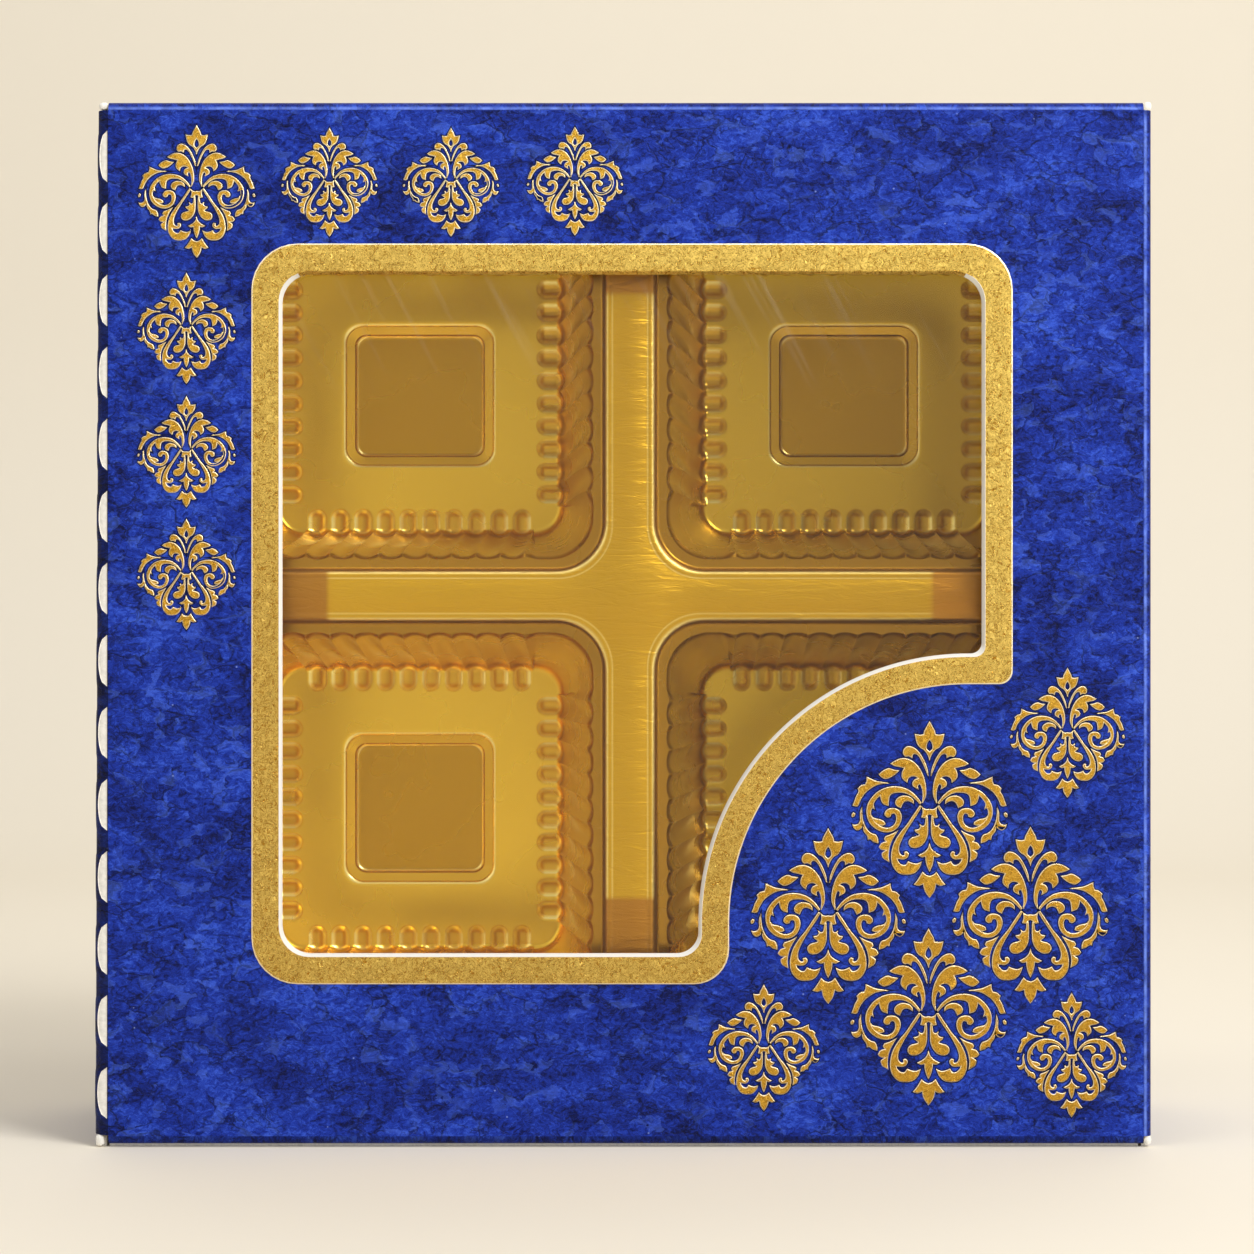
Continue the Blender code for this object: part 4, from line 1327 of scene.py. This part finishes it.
def floor_rings(ring):
    """The floor with the round ends of the feet, and the sunk pad with its soft edges."""
    feet = FOOT_REACH - (FLOOR_HALF - FILLET_MIDDLE)
    for step in range(1, FOOT_STEPS + 1):
        gone = feet * step / FOOT_STEPS
        half = FILLET_MIDDLE - gone
        past = gone - (feet - FOOT_HALF)
        radius = max(FLOOR_RADIUS - (FLOOR_HALF - half), 0.3 * MM)
        ring(half, radius, FLUTE_RUN, FLOOR, None, lambda place: FOOT_SINK * foot_share(place, past))
    ring(FILLET_MIDDLE - feet - 0.12 * MM, 0.2 * MM, FLUTE_RUN, FLOOR)
    ring(10.5 * MM, 0.4 * MM, 9.8 * MM, FLOOR)
    ring(PAD_HALF + 0.65 * MM, PAD_RADIUS + 0.4 * MM, PAD_RUN, FLOOR)
    for left, gone in soft_edge(7):
        depth = FLOOR + PAD_EDGE * 0.5 * gone
        ring(PAD_HALF + PAD_EDGE * left, PAD_RADIUS + PAD_EDGE * 0.5, PAD_RUN, depth)
    well = FLOOR + PAD_DEPTH
    for left, gone in soft_edge(7):
        ring(WELL_HALF + PAD_EDGE * 0.6 - PAD_EDGE * gone, WELL_RADIUS, WELL_RUN, well - PAD_EDGE * left)
    ring(WELL_HALF - 0.35 * MM, WELL_RADIUS, WELL_RUN, well)
    for half in (5.2, 3.0, 1.0):
        ring(half * MM, 0.4 * half / 5.2 * MM, half * 0.8 * MM, well)


def cavity_rings():
    """Every ring of a cavity from the deck round its mouth to the middle of its pad."""
    rings = []

    def ring(half, radius, run, depth, push=None, sink=None):
        points = cavity_ring(half, radius, run, push or (lambda place: 0.0))
        sinks = [sink(place) if sink and place is not None else 0 for _, _, place in points]
        rings.append([(x, y, depth + extra) for (x, y, _), extra in zip(points, sinks)])

    for part in (mouth_rings, wall_rings, floor_rings):
        part(ring)
    return rings


# %% Formed tray


def drawn_point(middle, x, y, depth):
    """Where a ring's point lies on the tray: each floor is drawn a little askew of its mouth."""
    share = smooth_step(min(depth, FLOOR), DECK + LEDGE_DEPTH, FLOOR)
    upper = middle[1] > CROSS[1]
    if upper and max(abs(x), abs(y)) < 9 * MM:
        y = y * UPPER_PAD_HEIGHT + UPPER_PAD_SAG
    return (middle[0] + x + FLOOR_SHIFT * share, depth, middle[1] + y + (UPPER_SAG * share if upper else 0))


def add_cavity(sheet, middle, rings):
    """Skin one cavity and return the ring round its mouth."""
    loops = [[sheet.verts.new(drawn_point(middle, *point)) for point in ring] for ring in rings]
    for outer, inner in zip(loops, loops[1:]):
        skin(sheet, outer, inner)
    sheet.faces.new(loops[-1])
    return loops[0]


def rim_loop(sheet, inset, depth):
    """The tray's rounded outline, so many millimetres inside its widest and below the deck."""
    half = TRAY_HALF - inset * MM
    points = []
    for turn, (side, level) in enumerate(((1, -1), (1, 1), (-1, 1), (-1, -1))):
        middle = (side * (half - TRAY_CORNER), MIDDLE + level * (half - TRAY_CORNER))
        points += arc(middle, TRAY_CORNER, (turn - 1) * QUARTER, turn * QUARTER)
    return [sheet.verts.new((x, DECK + depth * MM, z)) for x, z in points]


def loop_edges(sheet, loop):
    pairs = zip(loop, loop[1:] + loop[:1])
    return [sheet.edges.get(pair) or sheet.edges.new(pair) for pair in pairs]


def make_tray():
    """The whole sheet: four cavities, the deck between them, and the lip turned back at its rim."""
    sheet = bmesh.new()
    rings = cavity_rings()
    mouths = []
    for side in (-1, 1):
        for level in (-1, 1):
            middle = (CROSS[0] + side * CAVITY_OFFSET, CROSS[1] + level * CAVITY_OFFSET)
            mouths.append(add_cavity(sheet, middle, rings))
    lip = rim_loop(sheet, 0.5, -0.06)
    edges = [edge for loop in (lip, *mouths) for edge in loop_edges(sheet, loop)]
    bmesh.ops.triangle_fill(sheet, use_beauty=True, edges=edges)
    for inset, depth in ((0.25, 0.12), (0.12, 0.5), (0.0, LIP_DEPTH / MM)):
        lower = rim_loop(sheet, inset, depth)
        skin(sheet, lip, lower)
        lip = lower
    bmesh.ops.recalc_face_normals(sheet, faces=sheet.faces)
    mesh = mesh_from(sheet, "formed_tray")
    deck_face = min(mesh.polygons, key=lambda face: face.center.y)
    if deck_face.normal.y > 0:
        mesh.flip_normals()
    return keep_place(mesh)


# %% [markdown]
# ## The tray's gold
#
# The sheet is plastic with a thin gold metal on it, so it reflects like metal but never like a
# mirror: satin on the raised bars, with fine squiggles where the film has puckered, and smoother in
# the drawn cavities. One recipe serves, and the depth of each point leads it: the puckering fades
# away from the deck, and the colour carries painted light and shade by depth: painted highlights on
# the rims of the mouths, on the feet and round the pads, a painted dark ledge under each mouth, and a
# painted darker well in each pad. A plain metal would need many small lamps to mirror there. Towards
# the right, and at the ends of the bars, the gold is painted darker, as painted shade of the carton.

# %% Tray gold
# In millimetres: how far from the cross the painted shade on the ends of the bars begins,
# and where the painted shade towards the right falls.
BAR_END_SHADE = (29.4, 29.9)
SHADE_FALL = (-5.0, 52.0)


def make_tray_gold():
    finish = Finish("tray_gold", shade(226, 184, 52), 0.3, 0.8)
    place = finish.place(WORLD_PLACE)
    drawn_out = finish.place(WORLD_PLACE, (0.3, 1.0, 1.5)).warped(0.5, 2.2, 4.0)
    pucker = drawn_out.noise(0.55, 4.0, 0.6, 1.4)
    haze = place.noise(0.09, 3.0)
    across, depth, up = finish.parts("XYZ", place)
    deck, floor, span = DECK / MM, FLOOR / MM, (FLOOR + PAD_DEPTH - DECK) / MM
    on_deck = depth.spread(deck + 1.2, deck + 0.1)
    # Painted light and shade by depth: a painted highlight on the mouth's rim, a painted dark ledge under it,
    # and a colour that brightens down the walls to the floor.
    painted_depth_light = depth.spread(deck, floor + PAD_DEPTH / MM).ramp([
        (0.0, shade(200, 154, 26)),
        (0.05 / span, shade(255, 232, 140)),
        (0.34 / span, shade(255, 236, 160)),
        (0.5 / span, shade(156, 108, 18)),
        (1.4 / span, shade(176, 128, 26)),
        (3.2 / span, shade(216, 170, 46)),
        (0.92, shade(238, 196, 62)),
    ])
    # The floor and the pad differ by a millimetre only, which is too fine for one ramp over all depths.
    # This ramp paints highlights on the feet and on the pad's inner edge, and the pad's well darker as shade.
    sunk = depth.spread(floor - 0.2, floor - 0.2 + 1.25)
    painted_floor_highlights = sunk.ramp([
        (0.17, shade(238, 194, 56)),
        (0.2, shade(255, 236, 150)),
        (0.27, shade(255, 230, 130)),
        (0.34, shade(222, 172, 44)),
        (0.70, shade(226, 178, 48)),
        (0.78, shade(255, 240, 170)),
        (0.86, shade(255, 236, 150)),
        (0.9, shade(194, 146, 26)),
    ])
    painted_cavity_light = sunk.spread(0.02, 0.06).blend(painted_depth_light, painted_floor_highlights)
    # Painted shade towards the right and the top, weaker on the deck.
    shadowed = (across + up * 0.35).spread(*SHADE_FALL, 0.0, 0.52) * on_deck.spread(0.0, 1.0, 1.0, 0.6)
    tone = shadowed.blend(painted_cavity_light, shade(122, 88, 16))
    beyond, above = (across - CROSS[0] / MM).math("ABSOLUTE"), (up - CROSS[1] / MM).math("ABSOLUTE")
    # The ends of the bars are painted darker, as painted shade.
    bar_end_shade = beyond.math("MAXIMUM", above).spread(*BAR_END_SHADE) * on_deck
    finish.set("Base Color", (bar_end_shade * 0.9).blend(tone, shade(164, 108, 24)))
    finish.set("Roughness", haze.spread(0.3, 0.7, 0.22, 0.32) + on_deck * 0.1)
    height = pucker * (on_deck * 0.85) + place.noise(0.12, 0.0) * 0.2
    finish.set("Normal", height.relief(0.22 * MM, 0.7))
    return finish.material


formed_tray = add_piece("formed_tray", make_tray(), [make_tray_gold()])
tray_sheet = formed_tray.modifiers.new("Sheet", "SOLIDIFY")
tray_sheet.thickness = TRAY_SHEET
tray_sheet.offset = -1
finish_mesh(formed_tray, 40)
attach(formed_tray, "base")
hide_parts("cavity_tray")
# The gold would otherwise mirror the lid's unlit back, close in front of it, and look darker.
printed_lid.visible_glossy = False
print("tray:", len(formed_tray.data.polygons), "faces")

# %% [markdown]
# ## The window film
#
# A clear film is glued behind the window. It is almost invisible: a faint gloss gives it away, and
# a few streaks of glare near its top. Real refraction would darken what lies behind it for no gain, so
# the frame's own film is kept and given a nearly clear finish. In the streaks it is rougher and less
# clear, so its white shows as a painted reflection of the glare.

# %% Film
STREAK_LEAN = math.radians(28)
STREAKS_FROM, STREAKS_FULL = 72 * MM, 86 * MM

film = Finish("clear_film", shade(250, 250, 248), 0.06)
film_place = film.node("TexCoord")["Object"]
# Painted reflection: in the glare streaks near the top the film is less clear, so its white shows.
glare_streak_noise = film_place.mapped(turn=(0, STREAK_LEAN, 0)).mapped((420, 1, 12)).noise(2.0, 3.0, 0.6)
near_top = film.parts("XYZ", film_place)[2].spread(STREAKS_FROM, STREAKS_FULL)
streaks = glare_streak_noise.spread(0.56, 0.74) * near_top
film.set("Roughness", streaks.spread(0.0, 1.0, 0.05, 0.2))
film.set("Alpha", streaks.spread(0.0, 1.0, 0.01, 0.06))
window_film = frame["nodes"]["window_film"]
window_film.data.materials.clear()
window_film.data.materials.append(film.material)

# %% [markdown]
# ## The studio
#
# The carton stands on a plain pale floor that sweeps up into the backdrop. A soft light high on the
# right does most of the work, and a wide, weak one on the left fills the shadows. Two narrow lights,
# above and on the right, draw bright lines along the folds, and one above and behind lights the
# back and the floor. They are low enough that hardly anything in the front view turns plain white,
# but seen from the back and the sides the floor under them does. The sky sheds less light than it
# shows in the gold, or the print would look washed out. The backdrop stands 0.42 m behind the
# carton, and a camera further back than that sees only its rear side.

# %% Floor and backdrop
FLOOR_FRONT = -1.2
SWEEP_START = 0.30
SWEEP_RADIUS = 0.12
STUDIO_WIDTH = 1.6
STUDIO_HEIGHT = 1.3

middle_of_sweep = (SWEEP_START, SWEEP_RADIUS)
stage_profile = [(FLOOR_FRONT, 0.0), *arc(middle_of_sweep, SWEEP_RADIUS, -QUARTER, 0, 16)]
stage_profile.append((SWEEP_START + SWEEP_RADIUS, STUDIO_HEIGHT))
stage_points = [(side * STUDIO_WIDTH, y, z) for y, z in stage_profile for side in (-1, 1)]
stage_faces = [(2 * i, 2 * i + 1, 2 * i + 3, 2 * i + 2) for i in range(len(stage_profile) - 1)]
stage_mesh = bpy.data.meshes.new("studio_floor")
stage_mesh.from_pydata(stage_points, [], stage_faces)
stage_mesh.shade_smooth()
add_piece("studio_floor", stage_mesh, [Finish("pale_paper", shade(236, 228, 212), 0.8).material])
print("floor sweeps up from y =", SWEEP_START)

# %% Lights


def soft_light(name, place, width, height, watts):
    """A rectangular lamp that faces the middle of the carton."""
    lamp = bpy.data.lights.new(name, "AREA")
    lamp.shape = "RECTANGLE"
    lamp.size, lamp.size_y = width, height
    lamp.energy = watts
    light = bpy.data.objects.new(name, lamp)
    light.location = place
    light.rotation_euler = (Vector((0, 0, MIDDLE)) - Vector(place)).to_track_quat("-Z", "Y").to_euler()
    STUDIO.objects.link(light)


soft_light("key_softbox", (0.34, -0.36, 0.44), 0.26, 0.26, 2.9)
soft_light("fill_softbox", (-0.6, -0.5, 0.25), 0.6, 0.6, 0.8)
soft_light("top_strip", (0.0, -0.16, 0.62), 0.5, 0.12, 0.6)
soft_light("right_strip", (0.62, -0.2, 0.08), 0.12, 0.5, 0.7)
soft_light("back_softbox", (0.0, 0.26, 0.5), 0.5, 0.3, 0.5)

SKY_SHED = 0.38
SKY_SHOWN = 0.8
studio = bpy.data.worlds.new("studio")
sky = Recipe(studio)
ray = sky.node("LightPath")
shown = ray["Is Camera Ray"].math("MAXIMUM", ray["Is Glossy Ray"]).math("MAXIMUM", ray["Is Transmission Ray"])
background = sky.tree.nodes["Background"].inputs
sky.feed(background["Strength"], shown.spread(0.0, 1.0, SKY_SHED, SKY_SHOWN))
sky.feed(background["Color"], (1.0, 0.97, 0.92, 1.0))
bpy.context.scene.world = studio
